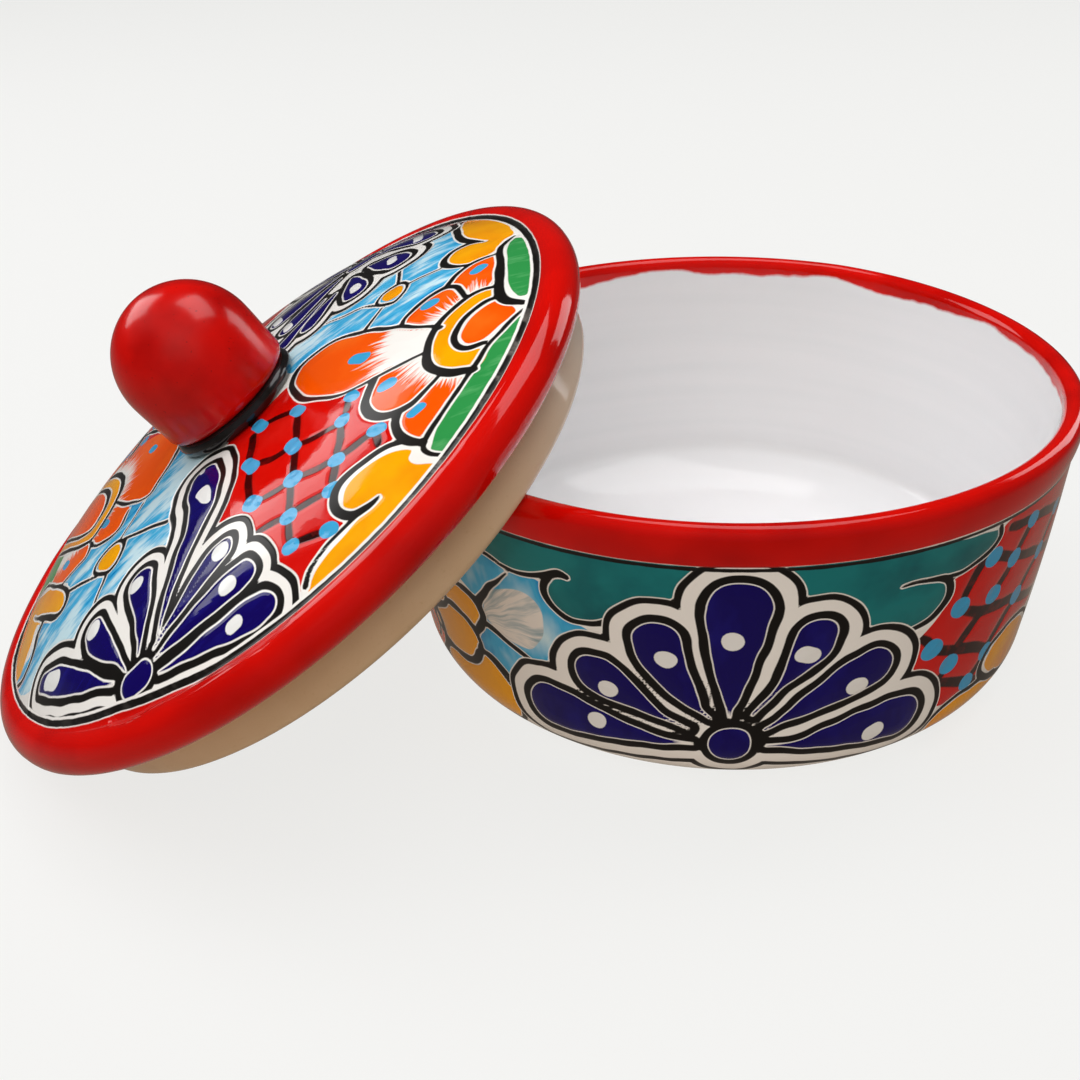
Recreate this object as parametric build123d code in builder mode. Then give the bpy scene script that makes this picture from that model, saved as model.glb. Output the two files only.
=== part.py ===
"""Lidded earthenware warmer, with its lid leaning on the dish, in millimetres.

Origin: centre of the dish's flat foot, on the table.
+X points away from the leaning lid, +Y is to the back of the photographed view, +Z is up.

The lid drops into the dish's mouth by a deep flange and seats with its rolled edge on the lip.
Here it has been taken off: its flange stands on the table and rests on the lip at two points.
"""

from math import cos, hypot, pi, radians, sin, sqrt

from build123d import *

# Dish
rim_radius = 118.0  # outside of the lip
dish_height = 100.5
lip_round = 3.6  # section radius of the rounded lip
band_height = 13.5  # rim band, from the top of the lip down to the neck under it
neck_step = 2.0  # the neck is this much smaller in radius than the lip
wall_taper = 13.0  # the wall's line comes in by this much from the neck to the table
heel_round = 22.0  # round between wall and base
wall = 7.2
floor_thickness = 9.0
inside_round = 16.0  # round between floor and wall, inside
button_radius = 20.0  # low button left by throwing at the middle of the floor
button_height = 0.9
button_slope = 6.0  # width of the button's sloping side

# Lid, measured from the middle plane of its rolled edge
lid_overhang = 2.8  # edge of the lid beyond the lip
roll_round = 7.0  # section radius of the rolled edge
ring_inset = 2.8  # dome's edge inside the roll's centre line
crown_height = 24.3  # seat of the knob
shoulder_radius = 62.0  # where the flat crown turns into the rounder shoulder
shoulder_height = 21.8
lid_wall = 8.0
ceiling_edge_height = 1.5  # where the ceiling would meet the flange, inside
flange_clearance = 0.9  # between the flange and the inside of the dish
flange_depth = 23.2
flange_wall = 6.5
flange_round = 3.0  # section radius of the flange's lower edge
flange_fillet = 2.5  # between the flange and the underside of the roll
ceiling_fillet = 8.0  # between the flange and the dome, inside

# Knob, measured from its seat on the crown
knob_radius = 24.0
knob_height = 47.0
knob_foot_radius = 23.6
knob_foot_round = 3.2
knob_neck_radius = 19.0  # held inside the collar
knob_off_centre = 4.0  # the knob was set by hand, a little uphill of the middle
collar_radius = 23.4
collar_height = 5.0
seat_margin = 1.5  # flat of the crown beyond the collar

# Rest pose of the lid
lid_tilt = 35.8  # degrees from level
lean_gap = 0.3  # between the flange and the lip

# Sizes that follow from the ones above
lip_centre_radius = rim_radius - lip_round
lip_centre_height = dish_height - lip_round
mouth_radius = rim_radius - 2 * lip_round
neck_height = dish_height - band_height
neck_radius = rim_radius - neck_step
base_corner_radius = neck_radius - wall_taper  # where the wall's line would meet the table
wall_lean = wall_taper / neck_height
inside_corner = base_corner_radius + wall_lean * floor_thickness - wall * hypot(1, wall_lean)
inside_lean = (mouth_radius - inside_corner) / (lip_centre_height - floor_thickness)
seated_depth = flange_depth - roll_round  # of the closed lid's flange below the top of the lip
inside_at_flange = mouth_radius - inside_lean * (seated_depth - lip_round)

lid_radius = rim_radius + lid_overhang
roll_centre_radius = lid_radius - roll_round
ring_radius = roll_centre_radius - ring_inset
ring_height = sqrt(roll_round**2 - ring_inset**2)
flange_radius = inside_at_flange - flange_clearance
flange_inside = flange_radius - flange_wall
seat_radius = collar_radius + knob_off_centre + seat_margin

# The crown is part of a large ball, whose centre is on the lid's axis
crown_centre = ((crown_height**2 + seat_radius**2) - (shoulder_height**2 + shoulder_radius**2)) / (
    2 * (crown_height - shoulder_height)
)
crown_ball = hypot(seat_radius, crown_height - crown_centre)
ceiling_ball = crown_ball - lid_wall


def ball_point(ball, radius):
    """Section point on a ball about the crown's centre, at a distance from the lid's axis."""
    return (radius, crown_centre + sqrt(ball**2 - radius**2))


def lean_clearance(distance):
    """Least gap between the leaning flange's edge and the lip, for a lid this far from the dish."""
    tilt = radians(lid_tilt)
    edge_radius = flange_radius - flange_round
    edge_depth = flange_depth - flange_round
    least = rim_radius
    for step in range(721):
        around = pi * step / 720
        uphill = edge_radius * cos(around)
        x = uphill * cos(tilt) + edge_depth * sin(tilt) - distance
        y = edge_radius * sin(around)
        z = lid_centre_height + uphill * sin(tilt) - edge_depth * cos(tilt)
        gap = hypot(hypot(x, y) - lip_centre_radius, z - lip_centre_height)
        least = min(least, gap - lip_round - flange_round)
    return least


def leaning_distance():
    """Slide the tilted lid toward the dish until its flange comes to rest on the lip."""
    far = rim_radius + lid_radius
    while lean_clearance(far - 1.0) > lean_gap:
        far -= 1.0
    near = far - 1.0
    for _ in range(40):
        middle = (near + far) / 2
        if lean_clearance(middle) > lean_gap:
            far = middle
        else:
            near = middle
    return far


# Height of the lid's middle, when the lowest point of its flange or its roll is on the table
tilt_sine = sin(radians(lid_tilt))
tilt_cosine = cos(radians(lid_tilt))
flange_reach = (flange_radius - flange_round) * tilt_sine + (flange_depth - flange_round) * tilt_cosine
lid_centre_height = max(flange_reach + flange_round, roll_centre_radius * tilt_sine + roll_round)
lid_distance = leaning_distance()

# Planes: the lid's own plane, its upright section, and the section through the knob
lid_plane = Plane(
    origin=(-lid_distance, 0, lid_centre_height),
    x_dir=(tilt_cosine, 0, tilt_sine),
    z_dir=(-tilt_sine, 0, tilt_cosine),
)
lid_section = Plane(origin=lid_plane.origin, x_dir=lid_plane.x_dir, z_dir=-lid_plane.y_dir)
knob_seat = lid_plane.origin + lid_plane.x_dir * knob_off_centre + lid_plane.z_dir * crown_height
knob_section = Plane(origin=knob_seat, x_dir=lid_plane.x_dir, z_dir=-lid_plane.y_dir)

# Dish: flat base, leaning wall, and a neck under the flared rim band
with BuildPart() as dish:
    with BuildSketch(Plane.XZ) as dish_profile:
        with BuildLine():
            base = Line((0, 0), (base_corner_radius, 0))
            side = Line(base @ 1, (neck_radius, neck_height))
            lip_out = (rim_radius, lip_centre_height)
            band = TangentArc(lip_out, side @ 1, tangent=(0, -1))
            lip = ThreePointArc(lip_out, (lip_centre_radius, dish_height), (mouth_radius, lip_centre_height))
            inside = Line(lip @ 1, (inside_corner, floor_thickness))
            floor = Line(inside @ 1, (button_radius + button_slope, floor_thickness))
            slope = Spline(
                floor @ 1,
                (button_radius, floor_thickness + button_height),
                tangents=((-1, 0), (-1, 0)),
            )
            button = Line(slope @ 1, (0, floor_thickness + button_height))
            axis_line = Line(button @ 1, (0, 0))
        make_face()
        heel = dish_profile.vertices().sort_by_distance((base_corner_radius, 0))[0]
        fillet(heel, heel_round)
        floor_corner = dish_profile.vertices().sort_by_distance((inside_corner, floor_thickness))[0]
        fillet(floor_corner, inside_round)
    revolve(axis=Axis.Z)

# Lid: dome with a rolled edge, a deep flange under it and a hollow inside
with BuildPart() as lid:
    with BuildSketch(lid_section) as lid_profile:
        with BuildLine():
            seat = Line((0, crown_height), (seat_radius, crown_height))
            crown_middle = ball_point(crown_ball, (seat_radius + shoulder_radius) / 2)
            crown = ThreePointArc(seat @ 1, crown_middle, (shoulder_radius, shoulder_height))
            dome = TangentArc(crown @ 1, (ring_radius, ring_height), tangent=crown % 1)
            roll = ThreePointArc(dome @ 1, (lid_radius, 0), (roll_centre_radius, -roll_round))
            under = Line(roll @ 1, (flange_radius, -roll_round))
            flange_out = Line(under @ 1, (flange_radius, flange_round - flange_depth))
            edge_out = RadiusArc(flange_out @ 1, (flange_radius - flange_round, -flange_depth), flange_round)
            edge_flat = Line(edge_out @ 1, (flange_inside + flange_round, -flange_depth))
            edge_in = RadiusArc(edge_flat @ 1, (flange_inside, flange_round - flange_depth), flange_round)
            flange_in = Line(edge_in @ 1, (flange_inside, ceiling_edge_height))
            ceiling_turn = shoulder_radius * ceiling_ball / crown_ball
            ceiling_side = ball_point(ceiling_ball, ceiling_turn)
            ceiling_middle = ball_point(ceiling_ball, ceiling_turn / 2)
            ceiling = ThreePointArc(ball_point(ceiling_ball, 0), ceiling_middle, ceiling_side)
            ceiling_bend = TangentArc(ceiling @ 1, flange_in @ 1, tangent=ceiling % 1)
            lid_axis_line = Line(ceiling @ 0, seat @ 0)
        make_face()
        root = lid_profile.vertices().sort_by_distance((flange_radius, -roll_round))[0]
        fillet(root, flange_fillet)
        ceiling_edge = lid_profile.vertices().sort_by_distance((flange_inside, ceiling_edge_height))[0]
        fillet(ceiling_edge, ceiling_fillet)
    revolve(axis=Axis(lid_plane.origin, lid_plane.z_dir))

# Knob: a ball on a wide foot, with a neck that stands inside the collar
ball_height = knob_height - knob_radius
with BuildPart() as knob:
    with BuildSketch(knob_section):
        with BuildLine():
            neck_foot = Line((0, 0), (knob_neck_radius, 0))
            neck_side = Line(neck_foot @ 1, (knob_neck_radius, collar_height))
            foot_under = Line(neck_side @ 1, (knob_foot_radius - knob_foot_round, collar_height))
            foot_top = (knob_foot_radius, collar_height + knob_foot_round)
            foot_edge = TangentArc(foot_under @ 1, foot_top, tangent=(1, 0))
            waist = Spline(foot_edge @ 1, (knob_radius, ball_height), tangents=(foot_edge % 1, (0, 1)))
            ball_slant = radians(45)
            ball_side = (knob_radius * cos(ball_slant), ball_height + knob_radius * sin(ball_slant))
            ball = ThreePointArc(waist @ 1, ball_side, (0, knob_height))
            knob_axis_line = Line(ball @ 1, neck_foot @ 0)
        make_face()
    revolve(axis=Axis(knob_seat, lid_plane.z_dir))

# Collar: a coil of clay pressed round the knob's neck, flat on the crown and round outside
with BuildPart() as knob_collar:
    with BuildSketch(knob_section):
        with BuildLine():
            coil_round = collar_height / 2
            coil_centre = collar_radius - coil_round
            coil_foot = Line((knob_neck_radius, 0), (coil_centre, 0))
            coil = ThreePointArc(coil_foot @ 1, (collar_radius, coil_round), (coil_centre, collar_height))
            coil_top = Line(coil @ 1, (knob_neck_radius, collar_height))
            coil_inside = Line(coil_top @ 1, coil_foot @ 0)
        make_face()
    revolve(axis=Axis(knob_seat, lid_plane.z_dir))

dish.part.label = "dish"
lid.part.label = "lid"
knob.part.label = "knob"
knob_collar.part.label = "knob_collar"

export_step(dish.part, "parts/dish.step")
export_step(lid.part, "parts/lid.step")
export_step(knob.part, "parts/knob.step")
export_step(knob_collar.part, "parts/knob_collar.step")

print(f"rim to lid centre {lid_distance:.2f}, lid centre {lid_centre_height:.2f} up")
print(f"flange {flange_radius:.2f} in a mouth of {mouth_radius:.2f}, crown ball {crown_ball:.0f}")
print(f"dish {dish.part.volume / 1000:.0f} ml of clay, lid {lid.part.volume / 1000:.0f} ml of clay")
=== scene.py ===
"""Painted earthenware warmer with its lid leaning on the dish: the looks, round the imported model.

Sizes are in millimetres in each piece's own frame, and meshes become metres in the model's frame.
The lid's pattern is drawn on its plane: x is uphill, y is to the back, from the middle of the dome.
The dish's pattern is drawn on its wall unrolled: x is the angle round it in degrees, y the height.
A drawn point is (x, y, width of the brush in mm), and one of an area's outline is (x, y).
"""

from math import atan2, cos, degrees, hypot, pi, radians, sin, sqrt

import bmesh
import bpy
import numpy as np
from mathutils import Matrix, Vector


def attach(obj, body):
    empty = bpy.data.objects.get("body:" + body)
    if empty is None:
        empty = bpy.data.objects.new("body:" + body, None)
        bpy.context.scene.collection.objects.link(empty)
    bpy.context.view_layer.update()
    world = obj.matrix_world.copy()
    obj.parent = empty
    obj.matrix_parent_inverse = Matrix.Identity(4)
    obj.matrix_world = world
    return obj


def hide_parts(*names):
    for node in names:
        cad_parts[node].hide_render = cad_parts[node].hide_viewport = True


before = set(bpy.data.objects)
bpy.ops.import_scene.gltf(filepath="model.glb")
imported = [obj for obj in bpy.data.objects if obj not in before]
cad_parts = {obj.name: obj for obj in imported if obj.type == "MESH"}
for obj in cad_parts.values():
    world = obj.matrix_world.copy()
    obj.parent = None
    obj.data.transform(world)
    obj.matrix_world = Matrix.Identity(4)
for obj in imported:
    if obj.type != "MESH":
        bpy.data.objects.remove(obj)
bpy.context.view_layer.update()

MM = 0.001
FAR = 12.0  # distances from the drawing stop here
SOFT = 0.14  # half of the width of a painted edge
BRISTLES = 24  # how fast a stroke's streaks change with their direction
SAME = 0.001  # heights and radii that differ by less are one
SECTORS = 240  # faces round a turned piece
FINE = 3  # parts of each side of a face in the painted zone

# Dish section
rim_radius = 118.0
dish_height = 100.5
lip_round = 3.6
neck_radius = 116.0
neck_height = 87.0
base_radius = 103.0
heel_round = 22.0
floor_height = 9.0
mouth_radius = 110.8
inside_corner = 97.07
crease_height = 25.0  # inside, where the wall meets the bowl of the floor
bowl_turn = 42  # degrees that the bowl turns from there to level
throwing_ring = 51.0  # radius of a low ring on the floor
ring_half = 6.0  # half of its width
ring_rise = 1.0
button_radius = 20.0
button_slope = 6.0
button_height = 0.9
wall_lean = (neck_radius - base_radius) / neck_height
wall_mm = 1.92  # of wall for a degree round the dish
fold_start = -172  # degrees, where the half turn that is drawn starts
off_centre = 0.017  # that the wall is shifted, for each millimetre below the neck
wall_belly = 1.8  # that the wall is fuller on its right side
rim_rise = 2.0  # at the back

# Lid section
lid_tilt = radians(35.8)
lid_centre = (-150.12, 0.0, 80.76)
roll_round = 7.0
roll_centre = 113.8
ring_radius = 111.0
ring_height = 6.416
crown_height = 24.3
seat_radius = 28.9
shoulder_radius = 62.0
shoulder_height = 21.8
crown_ball = 604.0
flange_radius = 107.93
flange_inside = 101.43
flange_depth = 23.2
flange_round = 3.0
flange_fillet = 2.5
lid_wall = 8.0
ceiling_fillet = 8.0
ceiling_edge_height = 1.5  # where the ceiling would meet the flange
crown_centre = shoulder_height - sqrt(crown_ball**2 - shoulder_radius**2)
ceiling_ball = crown_ball - lid_wall
under_knob = 20.0  # the knob hides the crown within this radius
roll_steps = 24
fillet_steps = 5

random = np.random.default_rng(7)


# Drawing: smooth brush strokes and outlined areas, measured in millimetres


def smooth_line(points, closed=False, steps=7):
    """Points along a smooth line through the given ones, with the brush's width between them too."""
    p = np.array(points, float)
    if closed:
        p = np.vstack([p[-1:], p, p[:2]])
    else:
        p = np.vstack([2 * p[0] - p[1], p, 2 * p[-1] - p[-2]])
    t = np.linspace(0, 1, steps, endpoint=False)[:, None]
    parts = []
    for a, b, c, d in zip(p, p[1:], p[2:], p[3:]):
        bend = (2 * a - 5 * b + 4 * c - d) * t**2 + (3 * b - 3 * c + d - a) * t**3
        parts.append(0.5 * (2 * b + (c - a) * t + bend))
    parts.append(p[-2:-1])
    return np.vstack(parts)


class Drawing:
    """What the brush has left round each point of a surface. Distances are negative inside."""

    def __init__(self, x, y, scale=1.0):
        self.x = x
        self.y = y
        self.scale = scale
        self.layers = {}
        self.count = len(x)
        self.brush = np.zeros((self.count, 3))

    def layer(self, name):
        if name not in self.layers:
            self.layers[name] = np.full(self.count, FAR)
        return self.layers[name]

    def line(self, points, closed):
        path = smooth_line(points, closed)
        path[:, 0] *= self.scale
        return path

    def near(self, path, reach):
        low = path[:, :2].min(0) - reach
        high = path[:, :2].max(0) + reach
        inside = (self.x > low[0]) & (self.x < high[0]) & (self.y > low[1]) & (self.y < high[1])
        return np.nonzero(inside)[0]

    def to_line(self, path, at):
        """Distance to the line, less half of the brush's width there."""
        x, y = self.x[at], self.y[at]
        best = np.full(len(at), FAR)
        for a, b in zip(path, path[1:]):
            dx, dy = b[0] - a[0], b[1] - a[1]
            length = max(dx * dx + dy * dy, 1e-9)
            t = np.clip(((x - a[0]) * dx + (y - a[1]) * dy) / length, 0, 1)
            half = 0.5 * (a[2] + (b[2] - a[2]) * t)
            best = np.minimum(best, np.hypot(x - a[0] - t * dx, y - a[1] - t * dy) - half)
        return best

    def stroke(self, name, points, closed=False):
        path = self.line(points, closed)
        path[:, 2] = np.maximum(path[:, 2], 0.3)
        at = self.near(path, FAR + path[:, 2].max())
        values = self.layer(name)
        values[at] = np.minimum(values[at], self.to_line(path, at))

    def strokes(self, name, lines, closed=False):
        for points in lines:
            self.stroke(name, points, closed)

    def area(self, name, points, brush=None):
        """A filled shape. brush is where its strokes start, and how far from there the colour begins."""
        path = self.line([(x, y, 0) for x, y in points], True)
        at = self.near(path, FAR)
        x, y = self.x[at], self.y[at]
        inside = np.zeros(len(at), bool)
        for a, b in zip(path, path[1:]):
            crosses = (a[1] > y) != (b[1] > y)
            slope = (b[0] - a[0]) / (b[1] - a[1] if b[1] != a[1] else 1e-9)
            inside ^= crosses & (x < a[0] + slope * (y - a[1]))
        distance = self.to_line(path, at)
        signed = np.where(inside, -distance, distance)
        values = self.layer(name)
        values[at] = np.minimum(values[at], signed)
        if brush:
            self.bristles(at[signed < 1.5], *brush)

    def areas(self, name, shapes):
        for points in shapes:
            self.area(name, points)

    def bristles(self, at, x0, y0, reach):
        x = self.x[at] - x0 * self.scale
        y = self.y[at] - y0
        self.brush[at, 0] = np.hypot(x, y) - reach
        self.brush[at, 1] = np.abs(np.arctan2(y, x)) * BRISTLES
        self.brush[at, 2] = x0 + y0


def turned(points):
    """The same shape, half a turn round the lid."""
    return [(-p[0], -p[1], *p[2:]) for p in points]


def dab(x, y, size, dx, dy):
    """A dot: a very short stroke."""
    return [(x, y, size), (x + dx, y + dy, size)]


# The lid's pattern. Fans: petals from head to foot, pearls on them, and ink round the near hub
near_petals = [
    [(-89, -49, 5.5), (-86, -52, 7.5), (-82.3, -55.8, 8.4), (-78, -61, 8.2), (-73.5, -66, 7),
     (-68.8, -71.2, 5.4), (-64.5, -75.8, 3.2), (-61, -79.6, 1.2), (-56.5, -84, 0.5)],
    [(-60.7, -57.8, 8.2), (-60, -61.5, 8.8), (-58.2, -66.5, 7.6), (-55.8, -72, 5.4), (-53.5, -76.5, 3),
     (-52.2, -80, 1.2), (-51, -84.4, 0.5)],
    [(-39, -58.6, 9.6), (-39.2, -62, 9), (-39.3, -67, 7.4), (-40, -72.5, 5.2), (-41.8, -77, 3.2),
     (-43, -80.6, 1.2), (-44.6, -84.4, 0.5)],
    [(-11.2, -31.8, 10.6), (-11.4, -36.4, 12.4), (-11.8, -42.3, 11.4), (-12.8, -48.1, 9.8),
     (-15.2, -54, 7.8), (-18.7, -59.9, 5.8), (-22.6, -65.8, 4.4), (-26, -71.2, 3), (-29.4, -75.4, 2),
     (-32.6, -80, 1.2), (-36, -85.4, 0.5)],
    [(-7.4, -76.2, 6.6), (-11, -77, 7.4), (-16.5, -79.2, 6.4), (-22, -81.8, 4.6), (-28, -84.2, 2.6),
     (-33, -85.8, 1.2), (-38.5, -87.6, 0.5)],
    [(-3.4, -90.3, 7.4), (-8, -90.4, 8.4), (-15, -90.5, 7.4), (-22.5, -90.7, 5.6), (-30, -90.8, 3.4),
     (-36, -90.7, 1.2), (-39.4, -90.7, 0.5)],
    [(-1.6, -103.6, 7.8), (-6, -103.2, 9), (-12.5, -102.2, 7.4), (-20, -100.6, 5.2), (-27.5, -99, 2.8),
     (-33.5, -97.6, 1.2), (-39.5, -95.6, 0.5)],
    [(-50.8, -90, 7), (-45, -91.2, 7.6)],
]
near_hub_ink = [
    (-57.5, -89.6, 2.4), (-52, -84.2, 3), (-46, -83.6, 3.2), (-40.4, -86.4, 4), (-38.8, -90.8, 4.2),
    (-41, -95, 3.4), (-47, -97, 2.4), (-53, -95.4, 2),
]
far_petals = [
    [(53.4, 24, 9.4), (53.3, 28, 9), (53.2, 33, 6.5), (53, 38, 3.5), (52.8, 41.5, 1)],
    [(70, 28.5, 9.6), (68, 32.5, 10.6), (65, 37, 8), (61.5, 41.5, 3), (60, 43.5, 1)],
    [(80, 45, 9), (77.5, 50, 11), (73, 54, 9), (67, 56, 5), (63, 56.5, 1.6)],
    [(34, 22.5, 6.5), (36.5, 26, 6.5), (41, 31, 4.5), (45.5, 36, 1.5)],
    [(23, 22, 6), (26, 25, 5.5), (31, 29.5, 4), (37, 35, 2), (41, 38.5, 1)],
    [(26, 37.5, 8.5), (31, 41, 8.5), (37, 45, 6.5), (44, 49.5, 3.4), (48, 52, 1)],
    [(22, 54, 9), (28, 55.5, 9.5), (36, 57, 7), (43, 58, 3.5), (48, 58.4, 1)],
    [(86, 63, 7.5), (81, 63.5, 8), (74, 63, 5.5), (66, 61.5, 1.5)],
    [(36, 77, 9), (41, 73, 8.6), (47, 67.6, 4.4), (51, 64, 1)],
    [(59, 88, 9), (58.6, 82, 9), (57.8, 74, 5), (57.2, 67.6, 1)],
    [(79, 79, 8.4), (74, 75.4, 8.4), (67.4, 69.6, 4.4), (62.6, 65, 1)],
    [(54, 57.5, 7), (60, 59.5, 7)],
]
pearls = [
    [(-86.2, -51.8, 6), (-82, -55.8, 6.2)],
    [(-61.3, -57, 6.4), (-60.6, -57.2, 6.4)],
    [(-41.3, -58, 5.6), (-40.3, -58, 5.6)],
    [(-12.2, -39.5, 5.2), (-11, -44, 4.6), (-10.2, -47.5, 2)],
    [(-12, -25.6, 1.8), (-11.8, -27, 2.6)],
    [(-9, -76.4, 6), (-8.2, -76.4, 6)],
    [(-10, -90, 5.2), (-8.6, -90, 5.2)],
    [(-12.5, -102.3, 4), (-10.4, -102.3, 4)],
    [(53.5, 25.8, 4.6), (53.3, 29.5, 4)],
    [(68.2, 31, 4), (68.4, 35.5, 3.6)],
    [(78, 45, 3.6), (78, 54, 3.6)],
    [(25.6, 36.5, 4), (25, 40, 3.6)],
    [(20.6, 53, 4), (20, 57, 4)],
    [(84.5, 63.2, 3.8), (85.5, 63.2, 3.8)],
    [(38, 75.6, 4), (38.6, 75, 4)],
    [(59, 86, 4), (59, 85, 4)],
    [(76.8, 77.6, 4), (76.4, 77.2, 4)],
]
# Lattice, which comes twice: its red ground, the dark lines from dot to dot, and the dots
lattice_area = [
    (0, -20), (12, -19), (24, -16), (26, -24), (29, -33), (36, -41), (43.5, -48), (50, -50), (47.5, -55),
    (46, -62), (49, -68), (54, -71.5), (52.5, -80), (46, -81.5), (38, -82.5), (31, -85), (28, -90),
    (29, -96), (24, -99.5), (17, -102.5), (11, -107), (4, -108), (2, -98), (0, -88), (-4, -78), (-8, -66),
    (-8, -56), (-3, -46), (-3, -34),
]
lattice_lines = [
    [(9, -20, 3), (10, -23, 3)],
    [(9, -31, 2.4), (8, -37, 2.6), (6.8, -43, 2.4)],
    [(6, -51, 2.2), (5, -57, 2.4), (4.6, -64, 2.4)],
    [(25.4, -40, 2.2), (24.6, -46, 2.4), (23.5, -52, 2.2)],
    [(22.6, -58, 2.2), (21, -64, 2.2), (20, -68, 2)],
    [(18.6, -72, 2.2), (17, -77, 2.2), (15.3, -82, 2)],
    [(14.4, -85, 1.8), (13, -89, 2), (12.4, -92, 1.8)],
    [(42.5, -52, 1.8), (41, -56, 2)],
    [(38.6, -61, 2), (36.6, -67, 2.2), (34.5, -72, 2)],
    [(33, -76, 2), (30.5, -81, 2)],
    [(46.6, -74, 2.2), (46, -77, 2), (45.6, -79.2, 0.8)],
    [(14, -29, 1.8), (18, -31, 2), (23, -34, 2)],
    [(10, -50, 2.2), (14, -52.6, 2.6), (19, -54, 2.4)],
    [(24.6, -56.4, 1.8), (30, -58.6, 2.2), (36.5, -60, 2)],
    [(8, -68.6, 1.8), (12.5, -70, 2.2), (17, -70.4, 2)],
    [(22.6, -71.6, 2), (27, -73, 2.2), (31, -73.8, 2)],
    [(36, -74.4, 2), (40, -73.8, 2.2), (45, -73, 1.8)],
    [(17.4, -82.8, 1.8), (22, -83.4, 2), (26.6, -83.8, 1.8)],
    [(3, -80.4, 1.6), (7, -81, 2), (12.4, -82.4, 1.8)],
    [(14.8, -93.4, 1.6), (18.5, -94.4, 1.8), (22, -95.6, 1.6)],
]
lattice_dots = [
    [(10.8, -25.4, 4.8), (12.8, -30.2, 4.8)],
    [(25.2, -35, 4.8), (26.6, -38.2, 4.8)],
    [(5.6, -44.4, 4.8), (7.6, -50, 5)],
    [(21.5, -52.8, 5), (22.6, -56.8, 4.8)],
    [(43.8, -50, 5), (44.4, -51.4, 4.6)],
    [(39, -59, 5.4), (39.2, -60.2, 5)],
    [(4.6, -66.4, 6), (5.8, -68.4, 6)],
    [(19.2, -69.8, 6), (20, -70.8, 5.8)],
    [(33.2, -74.6, 4.8), (34, -74.8, 4.8)],
    [(46.4, -72.4, 4.6), (48.6, -72.4, 4.2)],
    [(14.3, -83.3, 5), (15.5, -83.3, 5)],
    [(28.4, -84.1, 5), (29.6, -84.1, 5)],
    [(11.6, -93.4, 4.6), (12.8, -93.4, 4.6)],
    [(23.5, -96, 4.8), (24.7, -96, 4.8)],
]
# The far lattice runs on to the far fan
far_gap = [
    (-6, 56), (8, 58), (16, 64), (22, 72), (28, 84), (36, 92), (48, 97), (56, 99), (66, 94), (62, 104),
    (30, 116), (10, 118), (-2, 112), (-4, 96), (-4, 78),
]
far_gap_lines = [
    [(-1.6, 68, 2), (2, 70.4, 2.4), (5.4, 72.4, 2)],
    [(7.6, 77, 2), (6.4, 83, 2.2), (5, 89.4, 2)],
    [(-11.6, 84.6, 2), (-5, 88, 2.4), (1.4, 90.8, 2)],
    [(10.4, 76, 1.8), (14, 80.4, 2.2), (17.6, 85, 2)],
    [(6.8, 91.4, 2), (12, 90.6, 2.2), (17, 89, 2)],
    [(20.8, 91, 2), (19.6, 95.4, 2.2), (18, 100, 2)],
    [(22.8, 89.4, 2), (28, 92.6, 2.2), (33.4, 96.2, 2)],
    [(5, 95, 1.8), (9, 98.6, 2.2), (13.4, 102, 1.8)],
]
far_gap_dots = [(8, 74), (4, 92), (20, 88), (16, 103), (36, 98)]
# Scroll beside the lattice, with its hook and its tail of ink
low_scroll = [
    (30.5, -91), (33, -87), (38, -84.4), (45, -83.6), (50, -84), (53.2, -86), (51.6, -88.5), (53, -91.5),
    (58, -94.5), (56, -98), (45, -102), (35, -106), (25, -109), (12, -110), (15, -105.5), (20, -103),
    (27, -100.4), (33, -98.2), (38, -96.6), (40.4, -95.2), (36, -95.6), (33, -95.4), (30.9, -93.4),
]
low_hook = [
    (40.2, -95.4, 0.8), (36, -96.4, 1.8), (31.4, -96.2, 2.6), (28.4, -92.5, 3), (28.4, -88.5, 3),
    (31, -84.8, 2.6), (36, -82.4, 2.3), (42, -81.4, 2.2), (48, -80.9, 2), (52.6, -82, 1.8),
]
low_tail = [
    (11.6, -107, 1.8), (14.5, -103.6, 1.4), (20, -100.8, 1.2), (27, -98.4, 1.1), (33.4, -97, 1.2),
    (38, -96, 0.8),
]
# Right flower: petals, a crescent round its core, and leaves at the edge
big_petal = [
    (27, -10), (31, -7), (38, -6), (45, -8), (53.3, -15.8), (60, -23), (66, -30), (74.5, -40), (70, -46),
    (67.5, -51), (60, -49.8), (52, -48.6), (44, -47.3), (38.5, -43.5), (33, -38), (28, -31), (26, -24),
    (25.2, -17),
]
small_petals = [
    [(51.5, -49.5), (48.5, -54), (46.7, -60), (47.5, -65), (50.5, -68.6), (56, -70), (62, -68.5),
     (69, -64), (67.5, -57), (68, -51)],
    [(54.5, -70.5), (52.4, -76), (53.4, -82), (56.8, -86), (63.3, -80.8), (70, -74.6), (77, -67.6),
     (72, -64.4), (68.5, -63.5), (61, -68.8)],
    [(65, -28.5), (67, -24.6), (71, -21.4), (77, -18.7), (82, -18.2), (84.6, -21), (85.4, -25),
     (86, -30.2), (80, -34), (74.5, -39.5)],
    [(82, -17.6), (84, -15), (87, -11.4), (91, -8.2), (95, -7), (98.8, -7), (98, -16), (96, -25),
     (94.5, -30), (86.3, -30), (85.4, -24), (84, -19.6)],
]
crescent_area = [
    (95, -30), (88, -29), (80, -34), (74, -40), (70, -47), (68, -54), (68.5, -60), (72, -64.4),
    (78.5, -66.7), (84, -61), (80, -58), (77.4, -54.2), (77.6, -49), (81, -43), (86, -39), (91, -36.7),
    (95, -36),
]
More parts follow.
